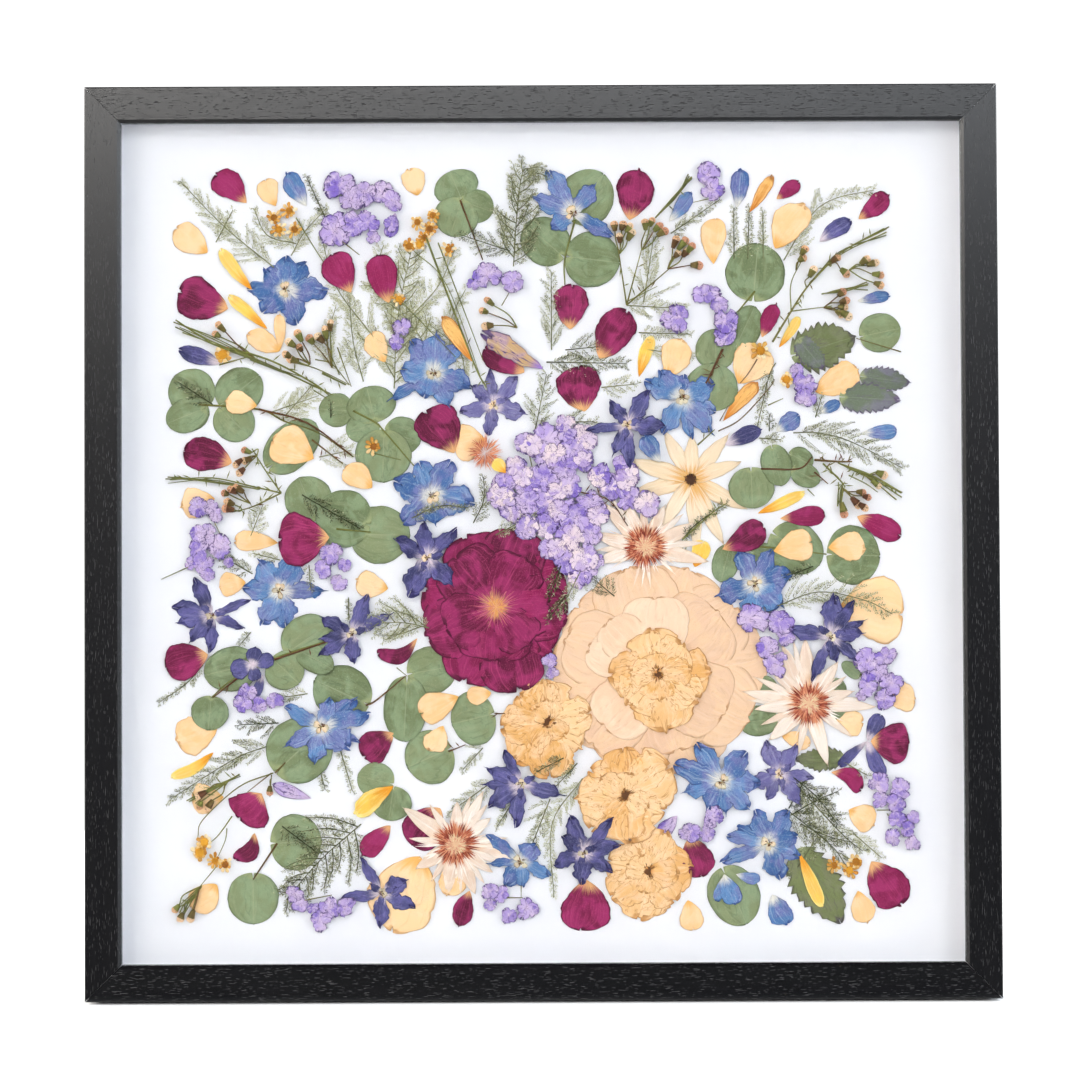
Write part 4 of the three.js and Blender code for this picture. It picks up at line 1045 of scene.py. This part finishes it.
# fronds: (route, reach, depth, tone)
ferns = [
    ([(-156, 161), (-185, 185), (-211, 212)], 12, 0.5, 0.8),
    ([(-143, 175), (-160, 180), (-168, 196)], 7, 0.5, 0.8), ([(-126, 190), (-137, 214)], 3, 0.5, 0.4),
    ([(-16, 161), (-14, 190), (-10, 217), (-1, 215)], 16, 1.6, 0.5),
    ([(-18, 170), (-48, 180)], 9, 1.8, 0.3), ([(-86, 90), (-84, 130), (-76, 170)], 20, 0.4, 0.85),
    ([(-60, 95), (-72, 122), (-98, 152)], 15, 0.4, 0.9),
    ([(-104, 94), (-110, 118), (-112, 144)], 12, 0.4, 0.8),
    ([(-146, 168), (-138, 182), (-125, 196)], 9, 0.4, 0.85),
    ([(-54, 112), (-52, 132), (-44, 148)], 9, 0.4, 0.85), ([(-190, 176), (-180, 195)], 6, 0.4, 0.8),
    ([(76, 180), (105, 200)], 5, 0.5, 0.5), ([(60, 140), (66, 178)], 13.5, 0.5, 0.8),
    ([(50, 138), (84, 136)], 9, 0.5, 0.8), ([(57, 122), (88, 121)], 6, 0.5, 0.7),
    ([(6, 112), (6, 158)], 11, 1.0, 0.6), ([(14, 112), (35, 114)], 10, 1.0, 0.3),
    ([(142, 164), (158, 190), (172, 200), (195, 205)], 12, 0.5, 0.8),
    ([(113, 165), (113, 195)], 4.5, 0.3, 0.6), ([(121, 165), (122, 195)], 4.5, 0.3, 0.5),
    ([(130, 165), (130, 193)], 4.5, 0.3, 0.6), ([(-192, 81), (-212, 94)], 7, 1.5, 0.2),
    ([(-159, 76), (-130, 86)], 12, 0.4, 0.9), ([(-130, 50), (-111, 54)], 14, 0.4, 0.9),
    ([(-123, 73), (-123, 82)], 3, 1.5, 0.2), ([(-170, 4), (-163, 22)], 8, 0.5, 0.8),
    ([(-140, 28), (-106, 8)], 7, 1.5, 0.15), ([(-4, 64), (3, 98)], 11, 1.0, 0.5),
    ([(-76, 14), (-60, 21), (-43, 20)], 4, 2.4, 0.5), ([(-40, 11), (-34, 24), (-34, 38)], 6, 2.8, 0.35),
    ([(-27, 4), (-4, 16)], 5, 3.0, 0.6), ([(3, 105), (50, 104)], 10, 0.5, 0.35),
    ([(35, 90), (56, 92)], 8, 0.5, 0.8), ([(9, 70), (31, 70)], 9, 0.5, 0.5),
    ([(82, -8), (82, 5)], 4, 0.5, 0.8), ([(137, 104), (133, 96), (126, 67)], 6, 0.5, 0.5),
    ([(82, 1), (90, 10), (108, 22)], 4, 2.4, 0.2), ([(-98, 120), (-120, 150), (-128, 178)], 12, 0.4, 0.85),
    ([(-78, 130), (-60, 150), (-50, 172)], 12, 0.4, 0.9), ([(-100, 150), (-92, 174)], 9, 0.4, 0.85),
    ([(-118, 98), (-125, 118), (-120, 138)], 10, 0.4, 0.85),
    ([(-44, 92), (-48, 112), (-66, 128)], 8, 0.4, 0.8), ([(143, -156), (152, -140)], 6, 0.5, 0.1),
    ([(148, -190), (160, -172)], 7, 0.5, 0.4), ([(-150, 74), (-134, 92)], 8, 0.4, 0.9),
    ([(62, 112), (90, 108)], 6, 0.5, 0.8), ([(147, 63), (161, 63), (180, 58), (211, 42)], 13.5, 0.5, 0.5),
    ([(127, 60), (140, 59)], 5, 0.5, 0.5), ([(133, 64), (133, 74)], 4, 0.5, 0.3),
    ([(160, 72), (164, 85)], 4, 0.5, 0.5), ([(-169, -18), (-190, -6)], 9, 0.5, 0.4),
    ([(-153, -10), (-169, -6)], 6, 0.4, 0.8), ([(-136, -13), (-135, -27)], 3, 1.5, 0.5),
    ([(-113, -32), (-113, -45)], 3, 0.5, 0.5), ([(-198, -71), (-208, -82), (-224, -93)], 4, 0.5, 0.5),
    ([(-170, -52), (-177, -60)], 4, 0.5, 0.5), ([(-154, -105), (-177, -106)], 8, 0.5, 0.2),
    ([(-137, -88), (-151, -90)], 8, 0.5, 0.7), ([(-66, -50), (-80, -47), (-96, -47)], 20, 2.6, 0.7),
    ([(11, -14), (4, -33)], 6, 3.0, 0.25), ([(14, -31), (3, -46)], 6, 3.0, 0.25),
    ([(23, -16), (9, -43)], 7, 2.4, 0.7), ([(42, -32), (30, -22)], 9, 2.4, 0.25),
    ([(158, -15), (140, -22)], 5, 1.5, 0.15),
    ([(137, -38), (161, -30), (188, -35), (204, -43)], 13.5, 2.4, 0.6),
    ([(-159, -118), (-180, -126), (-217, -149)], 12, 0.5, 0.5),
    ([(-106, -164), (-130, -185), (-150, -208)], 20, 0.4, 0.45),
    ([(-152, -165), (-131, -181)], 6, 1.5, 0.2), ([(-130, -132), (-127, -144)], 4, 0.5, 0.5),
    ([(-118, -121), (-111, -145)], 4, 0.4, 0.6), ([(-35, -120), (-47, -133)], 6, 0.4, 0.6),
    ([(-30, -140), (-55, -158)], 8, 0.4, 0.7), ([(-18, -152), (-27, -166)], 5, 0.4, 0.6),
    ([(4, -150), (-10, -185)], 9, 0.4, 0.6), ([(12, -126), (-4, -134)], 4, 2.6, 0.3),
    ([(20, -129), (7, -143)], 5, 2.4, 0.5), ([(23, -138), (5, -165), (6, -207)], 7, 0.4, 0.9),
    ([(175, -129), (189, -137)], 3, 0.5, 0.7), ([(150, -145), (174, -171), (186, -181)], 12, 0.5, 0.5),
    ([(141, -156), (167, -177), (176, -189)], 11, 0.5, 0.3),
    ([(146, -138), (160, -150), (172, -166)], 9, 0.6, 0.1),
    ([(144, -160), (158, -152), (172, -146)], 8, 0.5, 0.15),
    ([(150, -165), (165, -172), (180, -176)], 8, 0.5, 0.4), ([(181, -171), (197, -185)], 6, 0.5, 0.9),
    ([(138, -188), (144, -196)], 3, 0.5, 0.5)]
fernShape = {"spread": 1.55, "needleEvery": 0.75, "needleLong": 2.3, "needleWide": 0.4, "lean": 0.82,
             "curl": 0.3, "twice": 14}


def fernFrond(bundle, route, reach, depth, tone, draw):
    # Side shoots leave the stem left and right, shorter towards its tip. A small frond's shoots carry
    # needles on both sides, every so far; those of a large one are small fronds themselves.
    s = fernShape
    line = smoothRoute(route, 12)
    run = np.concatenate([[0], np.cumsum(np.hypot(*np.diff(line, axis=0).T))])
    shoots = max(6, int(run[-1] / (2.2 + 0.17 * reach)) * 2)
    at = np.linspace(0.04, 0.98, shoots)
    root = np.stack([np.interp(at * run[-1], run, line[:, k]) for k in (0, 1)], 1)
    ahead = np.stack([np.interp(at * run[-1], run, np.gradient(line[:, k])) for k in (0, 1)], 1)
    side = np.where(np.arange(shoots) % 2, 1, -1)
    turn = np.arctan2(ahead[:, 1], ahead[:, 0]) + side * (s["lean"] + draw.normal(0, 0.2, shoots))
    long = np.maximum(2.5, s["spread"] * reach * (1.08 - 0.8 * at) * draw.uniform(0.55, 1.05, shoots))
    stemTube(bundle, route, 0.35, depth, tone * 0.6, 4)
    if reach > s["twice"]:
        for start, angle, bow, far in zip(root, turn, side * s["curl"], long):
            knee = start + 0.5 * far * np.array([np.cos(angle), np.sin(angle)])
            end = knee + 0.5 * far * np.array([np.cos(angle - bow), np.sin(angle - bow)])
            small = draw.uniform(3.2, 4.6)
            fernFrond(bundle, [start, knee, end], small, depth, tone + draw.normal(0, 0.05), draw)
        return
    d = np.arange(1, int(long.max() / s["needleEvery"]) + 1)[None, :] * s["needleEvery"]
    part = d / long[:, None]
    curl = turn[:, None] - side[:, None] * s["curl"] * part + draw.normal(0, 0.1, (shoots, 1)) * part
    spots = root[:, None, :] + d[..., None] * np.stack([np.cos(curl), np.sin(curl)], -1)
    grows = part <= 1
    tips = spots[np.arange(shoots), grows.sum(1) - 1]
    needles(bundle, root, tips, 0.3, depth, np.full(shoots, tone * 0.8))
    for hand in (-0.7, 0.7):
        aim = (curl + hand + draw.normal(0, 0.3, curl.shape))[grows]
        size = (s["needleLong"] * (1.15 - 0.6 * part) * draw.uniform(0.5, 1.2, curl.shape))[grows]
        starts = spots[grows]
        ends = starts + size[:, None] * np.stack([np.cos(aim), np.sin(aim)], 1)
        shade = np.clip(tone + draw.normal(0, 0.28, len(starts)), 0, 1)
        needles(bundle, starts, ends, s["needleWide"], depth + draw.uniform(0, 0.35, len(starts)), shade)


def addFerns():
    draw = np.random.default_rng(101)
    third = (len(ferns) + 2) // 3
    for part in range(3):
        bundle = Bundle()
        for route, reach, depth, tone in ferns[part * third:(part + 1) * third]:
            fernFrond(bundle, route, reach, depth, tone, draw)
        makePiece(f"ferns{part + 1}", bundle, "fern")


# single stalks: (route, radius, tone)
stalks = [
    ([(-165, 106), (-211, 126)], 0.5, 0.6), ([(-182, 114), (-157, 106), (-133, 93), (-124, 86)], 0.8, 0.5),
    ([(-170, 107), (-150, 99)], 0.5, 0.7), ([(-156, 102), (-137, 96)], 0.5, 0.7),
    ([(-133, 89), (-125, 84)], 0.5, 0.6), ([(-188, 104), (-170, 109)], 0.6, 0.4),
    ([(-143, 105), (-130, 101), (-112, 92)], 0.5, 0.4), ([(-132, 107), (-122, 104), (-112, 92)], 0.5, 0.4),
    ([(-119, 114), (-111, 91)], 0.5, 0.4), ([(-128, 99), (-114, 92)], 0.9, 0.7),
    ([(-143, 190), (-134, 175), (-127, 164)], 0.5, 0.6), ([(-116, 176), (-106, 168)], 0.5, 0.4),
    ([(-67, 178), (-40, 106), (-32, 90)], 0.8, 0.6), ([(-60, 175), (-34, 106)], 0.5, 0.6),
    ([(-74, 170), (-55, 150), (-34, 92)], 0.4, 0.6), ([(-83, 142), (-50, 108)], 0.4, 0.6),
    ([(-23, 138), (-16, 150)], 0.4, 0.4), ([(50, 138), (45, 172)], 0.6, 0.4),
    ([(50, 138), (59, 171)], 0.6, 0.4), ([(50, 138), (76, 160)], 0.6, 0.4),
    ([(50, 140), (68, 149)], 0.4, 0.6), ([(67, 189), (88, 213)], 0.6, 0.6),
    ([(98, 200), (89, 198)], 0.4, 0.4), ([(106, 112), (100, 100), (96, 92)], 0.9, 0.1),
    ([(135, 116), (146, 134), (157, 150), (175, 168), (202, 182)], 0.8, 0.4),
    ([(146, 134), (146, 150), (152, 163)], 0.5, 0.5), ([(146, 134), (170, 137)], 0.5, 0.5),
    ([(164, 144), (191, 149)], 0.5, 0.5), ([(210, 110), (184, 118)], 0.5, 0.3),
    ([(-165, 78), (-137, 70), (-111, 51)], 0.8, 0.1), ([(-152, 29), (-161, 42), (-169, 55)], 0.6, 0.5),
    ([(-152, 29), (-169, 33), (-192, 38), (-217, 37)], 0.6, 0.5),
    ([(-152, 29), (-169, 21), (-181, 18)], 0.6, 0.4), ([(-192, 38), (-218, 35)], 0.4, 0.6),
    ([(-193, 16), (-187, 4)], 0.4, 0.4), ([(-134, 60), (-116, 46)], 0.7, 0.2),
    ([(-8, 54), (-5, 41)], 0.5, 0.7), ([(-98, 52), (-82, 48)], 0.4, 0.6), ([(91, 56), (101, 65)], 0.6, 0.5),
    ([(103, 64), (116, 71), (132, 88), (136, 94)], 0.5, 0.2), ([(104, 70), (109, 79)], 0.4, 0.2),
    ([(22, 29), (39, 24), (50, 9)], 0.6, 0.1), ([(82, 1), (100, 17), (108, 22)], 0.6, 0.5),
    ([(159, 47), (173, 46), (181, 46)], 0.9, 0.2), ([(179, 42), (191, 38), (209, 28)], 0.9, 0.6),
    ([(179, 38), (189, 33), (196, 28)], 0.5, 0.6), ([(164, 45), (174, 35), (177, 31)], 0.7, 0.5),
    ([(173, 34), (173, 21)], 0.4, 0.6), ([(159, 40), (167, 33)], 0.6, 0.1),
    ([(155, 30), (159, 26)], 0.5, 0.6), ([(-178, -79), (-192, -90)], 0.7, 0.1),
    ([(-156, -68), (-126, -58)], 0.8, 0.1), ([(-204, -13), (-222, -21)], 0.5, 0.7),
    ([(-177, -135), (-189, -142), (-205, -150)], 0.6, 0.5),
    ([(-157, -134), (-177, -142), (-198, -161), (-201, -171)], 0.5, 0.4),
    ([(-158, -134), (-172, -145)], 0.5, 0.2), ([(-181, -159), (-189, -170), (-196, -176)], 0.5, 0.5),
    ([(-184, -166), (-185, -173), (-189, -182)], 0.4, 0.5), ([(-158, -135), (-159, -148)], 0.4, 0.4),
    ([(-190, -188), (-200, -200)], 0.4, 0.5), ([(-200, -200), (-211, -210)], 0.5, 0.4),
    ([(-200, -200), (-209, -216)], 0.5, 0.4), ([(-200, -200), (-205, -216)], 0.5, 0.4),
    ([(-139, -208), (-123, -205)], 0.5, 0.4), ([(-24, -207), (-12, -207)], 0.5, 0.3),
    ([(-13, -200), (-13, -207)], 0.4, 0.4), ([(194, -157), (209, -157)], 0.4, 0.5),
    ([(200, -159), (205, -166)], 0.4, 0.5), ([(174, -183), (181, -187)], 0.5, 0.6),
    ([(185, -78), (192, -84)], 0.5, 0.4), ([(-55, -122), (-45, -118)], 0.6, 0.1),
    ([(-28, -100), (-22, -100)], 0.6, 0.1), ([(-85, -73), (-79, -78)], 0.4, 0.4),
    ([(126, 106), (121, 98), (116, 92)], 0.5, 0.1), ([(132, 79), (141, 83)], 0.5, 0.5)]

# wax flower sprays: where the stalks part, and the closed buds that they end in
sprays = [
    ((-165, 106), [(-188, 127), (-190, 122)]),
    ((-122, 102), [(-135, 119), (-130, 120), (-126, 124), (-123, 128)]),
    ((-135, 104), [(-142, 122), (-147, 117), (-141, 114), (-149, 110), (-146, 107)]),
    ((-14, 125), [(-31, 141), (-34, 135), (-32, 126)]),
    ((46, 168), [(43, 185), (48, 185), (52, 184), (46, 178), (53, 180)]),
    ((59, 170), [(61, 186), (65, 187), (69, 184), (72, 181)]),
    ((74, 159), [(79, 176), (84, 175), (88, 172), (85, 169), (80, 168), (92, 161)]),
    ((149, 158), [(153, 165), (154, 170)]), ((155, 148), [(159, 158)]),
    ((168, 161), [(173, 165), (178, 156)]), ((180, 158), [(190, 164), (195, 162), (198, 155), (198, 149)]),
    ((165, 136), [(176, 145), (178, 140), (177, 136), (179, 131), (175, 132)]),
    ((-166, 51), [(-173, 54), (-173, 48), (-178, 46), (-176, 41)]),
    ((-170, 23), [(-185, 29), (-181, 31), (-178, 32)]), ((-175, 19), [(-183, 24), (-184, 20)]),
    ((186, 40), [(199, 38), (196, 32)]),
    ((175, 31), [(187, 28), (190, 25), (184, 21), (188, 19), (176, 16)]),
    ((-185, -140), [(-200, -147), (-195, -154), (-200, -153)]), ((-158, -137), [(-159, -145)]),
    ((-200, -200), [(-214, -213), (-211, -218), (-205, -218)])]

# bunches of wax flower needles: (route, how many, how far they spread)
bunches = [
    ([(-211, 127), (-190, 117), (-165, 106)], 7, 2.6), ([(-181, 112), (-157, 103), (-124, 87)], 4, 1.6),
    ([(-217, 38), (-190, 36), (-165, 31)], 5, 2.5), ([(209, 28), (191, 37), (173, 45)], 5, 2.2),
    ([(202, 182), (175, 168), (157, 150)], 4, 1.6), ([(88, 213), (78, 201), (67, 189)], 5, 1.6),
    ([(-205, -150), (-190, -142), (-177, -135)], 5, 2.6),
    ([(-211, -213), (-205, -207), (-199, -200)], 5, 3.5), ([(174, 21), (175, 28), (176, 34)], 4, 2.5),
    ([(191, 149), (178, 146), (164, 144)], 4, 1.8)]

# feverfew heads: (x, z, radius of the gold button, 1 where its rays reach further and 0 where they are short)
feverfew = [
    (-156, 190, 2.6, 1), (-147, 194, 2.6, 1), (-153, 183, 2.6, 1), (-144, 183, 2.6, 1), (-186, 110, 3.4, 0),
    (-63, 191, 2.4, 1), (-72, 187, 2.4, 1), (-65, 183, 2.8, 0), (-68, 178, 2.4, 1), (-77, 173, 2.8, 0),
    (-71, 174, 2.6, 0), (-54, 171, 2.4, 1), (-83, 142, 2.4, 1), (-98, 56, 2.6, 1), (128, 111, 3.2, 1),
    (143, 94, 3.0, 0), (-197, -174, 3.0, 0), (-200, -180, 3.4, 0), (-185, -187, 2.6, 1),
    (-191, -185, 2.4, 1), (169, -189, 2.6, 1), (178, -192, 2.8, 1), (182, -187, 3.0, 0)]

spray = {"depth": 2.2, "thinner": 0.8, "leafyFrom": 0.6, "leafLong": (3, 7), "bunchRadius": 0.42,
         "budSize": (3.6, 4.6), "budStamens": 9, "buttonNeedles": 50, "rays": 9}


def addStalks(draw):
    # stalks, small leaves on the thicker ones, and bunches that spread towards their first end
    stems = Bundle()
    for route, radius, tone in stalks:
        stemTube(stems, route, radius * spray["thinner"], spray["depth"], tone)
        if radius < spray["leafyFrom"]:
            continue
        line = smoothRoute(route, 6)[1:-1]
        turn = draw.uniform(0, fullTurn, len(line))
        far = draw.uniform(*spray["leafLong"], (len(line), 1))
        leafTips = line + np.stack([np.cos(turn), np.sin(turn)], 1) * far
        tones = np.clip(tone + draw.normal(0, 0.15, len(line)), 0, 1)
        needles(stems, line, leafTips, 0.8, spray["depth"] + 0.2, tones, 0.3)
    for route, count, spread in bunches:
        for _ in range(count):
            scatter = draw.normal(0, spread, (len(route), 2))
            loosening = np.linspace(1, 0.2, len(route))[:, None] * scatter * 0.7
            stemTube(stems, np.array(route) + loosening, spray["bunchRadius"],
                     spray["depth"] + draw.uniform(0, 0.4), draw.uniform(0.35, 0.85), 5)
    makePiece("stalks", stems, "stem")


def addBuds(draw):
    # each bud: a bowed stalk from the node, a cup that widens, a dome and a few stamens on it
    cups, tops = Bundle(), Bundle()
    count = spray["budStamens"]
    for node, budPlaces in sprays:
        for bud in budPlaces:
            size = draw.uniform(*spray["budSize"])
            aim = np.array(bud, float) - node
            aim = aim / np.hypot(*aim) + draw.normal(0, 0.15, 2)
            foot = bud - aim * size
            bow = (foot + node) / 2 + draw.normal(0, 1.0, 2)
            stemTube(cups, [node, bow, foot], 0.4, 2.3, draw.uniform(0.1, 0.6), 6, 0.9)
            rim = foot + aim * size * 0.9
            stemTube(cups, [foot, rim], size * 0.28, 2.2, draw.uniform(0.05, 0.55), 8, 1.9)
            top = bud + aim * size * 0.1
            dome(tops, top, size * 0.56, 0.9, 2.6, draw.uniform(0, 1), 0.12, draw)
            starts, ends = sprinkle(top, size * 0.1, size * 0.5, count, draw)
            needles(cups, starts, ends, 0.35, 3.3, draw.uniform(0, 0.4, count), 0.2)
    makePiece("budCups", cups, "stem")
    makePiece("budTops", tops, "peach")


def addFeverfew(draw):
    # a rough gold button, fine needles on it, and a ring of short broad rays
    buttons, rays = Bundle(), Bundle()
    count = spray["buttonNeedles"]
    for x, z, radius, white in feverfew:
        lean = draw.uniform(0, fullTurn)
        dome(buttons, (x, z), radius * 0.85, 0.8, 2.7, draw.uniform(0, 0.7), 0.08, draw)
        starts, ends = sprinkle((x, z), radius * 0.5, radius * 1.15, count, draw)
        needles(buttons, starts, ends, 0.4, 2.9, draw.uniform(0.2, 1, count), 0.3)
        for turn in np.linspace(0, fullTurn, spray["rays"] + 1)[:-1] + lean:
            aim = np.array([math.cos(turn), math.sin(turn)])
            reach = radius * (2.0 if white else 1.6) * draw.uniform(0.65, 1.1)
            bladeSheet(rays, (x, z) + aim * radius * 0.5, (x, z) + aim * reach, radius * 0.8, 2.6, draw,
                       rows=7, cols=5, crown=0.2, crumple=0.15, ragged=0.08)
    makePiece("feverfewButtons", buttons, "button")
    makePiece("feverfewRays", rays, "ray", (), sepalThick)


addBlueFlowers()
addGoldRoses()
addBurgundyRose()
addCreamPeony()
addStarFlower()
addHydrangeas()
addAstrantias()
print("flowers placed")
addLeaves()
addLoosePetals()
print("leaves and petals placed")
addFerns()
sprayDraw = np.random.default_rng(111)
addStalks(sprayDraw)
addBuds(sprayDraw)
addFeverfew(sprayDraw)
print("ferns and sprays placed")


stage = {"distance": 1.6, "below": 0.033, "seenWidth": 0.6295, "rollDegrees": 0.24, "right": 0.0007,
         "up": -0.0016, "sensor": 36.0, "nearest": 0.05, "floorReach": 1.2, "floorUnder": 0.0016,
         "floorBefore": 0.014}  # metres


def addCamera():
    camera = bpy.data.objects.new("camera", bpy.data.cameras.new("camera"))
    bpy.context.scene.collection.objects.link(camera)
    camera.data.sensor_width = stage["sensor"]
    camera.data.lens = stage["sensor"] * stage["distance"] / stage["seenWidth"]
    camera.data.clip_start = stage["nearest"]
    camera.location = (middle.x + stage["right"], cadBox[0].y - stage["distance"],
                       middle.z - stage["below"] + stage["up"])
    pitch = math.atan(stage["below"] / stage["distance"])
    camera.rotation_euler = (math.pi / 2 + pitch, math.radians(stage["rollDegrees"]), 0)
    bpy.context.scene.camera = camera


studioSky = {  # strengths, the heights that each light starts and stops at, and its two hues
    "seen": 1.2, "base": 0.07,
    "glow": 16.5, "glowFrom": (0.165, 0.19), "glowTo": (0.26, 0.3), "glowLeft": 1.1, "glowFall": 0.42,
    "above": 1.0, "aboveFrom": (0.17, 0.24), "aboveTo": (0.6, 0.8),
    "beside": 1.95, "besideFrom": (0.34, 0.55), "below": 1.05, "belowFrom": (0.35, 0.6),
    "warm": (1.0, 0.97, 0.93), "cool": (0.92, 0.97, 1.03)}


def addStudioSky(world):
    # White to look at. Its light is a strong band a little way up, a broad one over it, and both
    # sides; little comes from straight ahead, so that the glass shows no reflection.
    sky = studioSky
    look = Look("studio", world=world)
    x, _, z = look.split(look.coordinates("Generated"))
    toRight = look.band(x, -0.25, 0.25)
    glow = look.band(z, *sky["glowFrom"]) * (1 - look.band(z, *sky["glowTo"]))
    glow = glow * (sky["glowLeft"] - sky["glowFall"] * toRight) * sky["glow"]
    above = look.band(z, *sky["aboveFrom"]) * (1 - look.band(z, *sky["aboveTo"])) * sky["above"]
    beside = look.band(abs(x), *sky["besideFrom"]) * sky["beside"]
    below = look.band(z * -1, *sky["belowFrom"]) * sky["below"]
    light = glow + above + beside + below + sky["base"]
    lightPath = look.node("ShaderNodeLightPath")  # its first output is 1 for what the camera sees
    hue = look.mix(toRight, sky["warm"], sky["cool"])
    look.feed(Strength=light + lightPath * (sky["seen"] - light), Color=look.mix(lightPath, hue, (1, 1, 1)))


def addStage():
    reach, low = stage["floorReach"], cadBox[0]
    under, front = low.z - stage["floorUnder"], low.y - stage["floorBefore"]
    floorMesh = bpy.data.meshes.new("floor")
    floorMesh.from_pydata([(-reach, front, under), (reach, front, under), (reach, reach, under),
                           (-reach, reach, under)], [], [(0, 1, 2, 3)])
    floor = bpy.data.objects.new("floor", floorMesh)
    bpy.context.scene.collection.objects.link(floor)
    floor.data.materials.append(finishes["floor"])
    bpy.context.scene.world = bpy.data.worlds.new("studio")
    addStudioSky(bpy.context.scene.world)
    bpy.context.scene.view_settings.view_transform = "Standard"


addCamera()
addStage()
print("stage set")
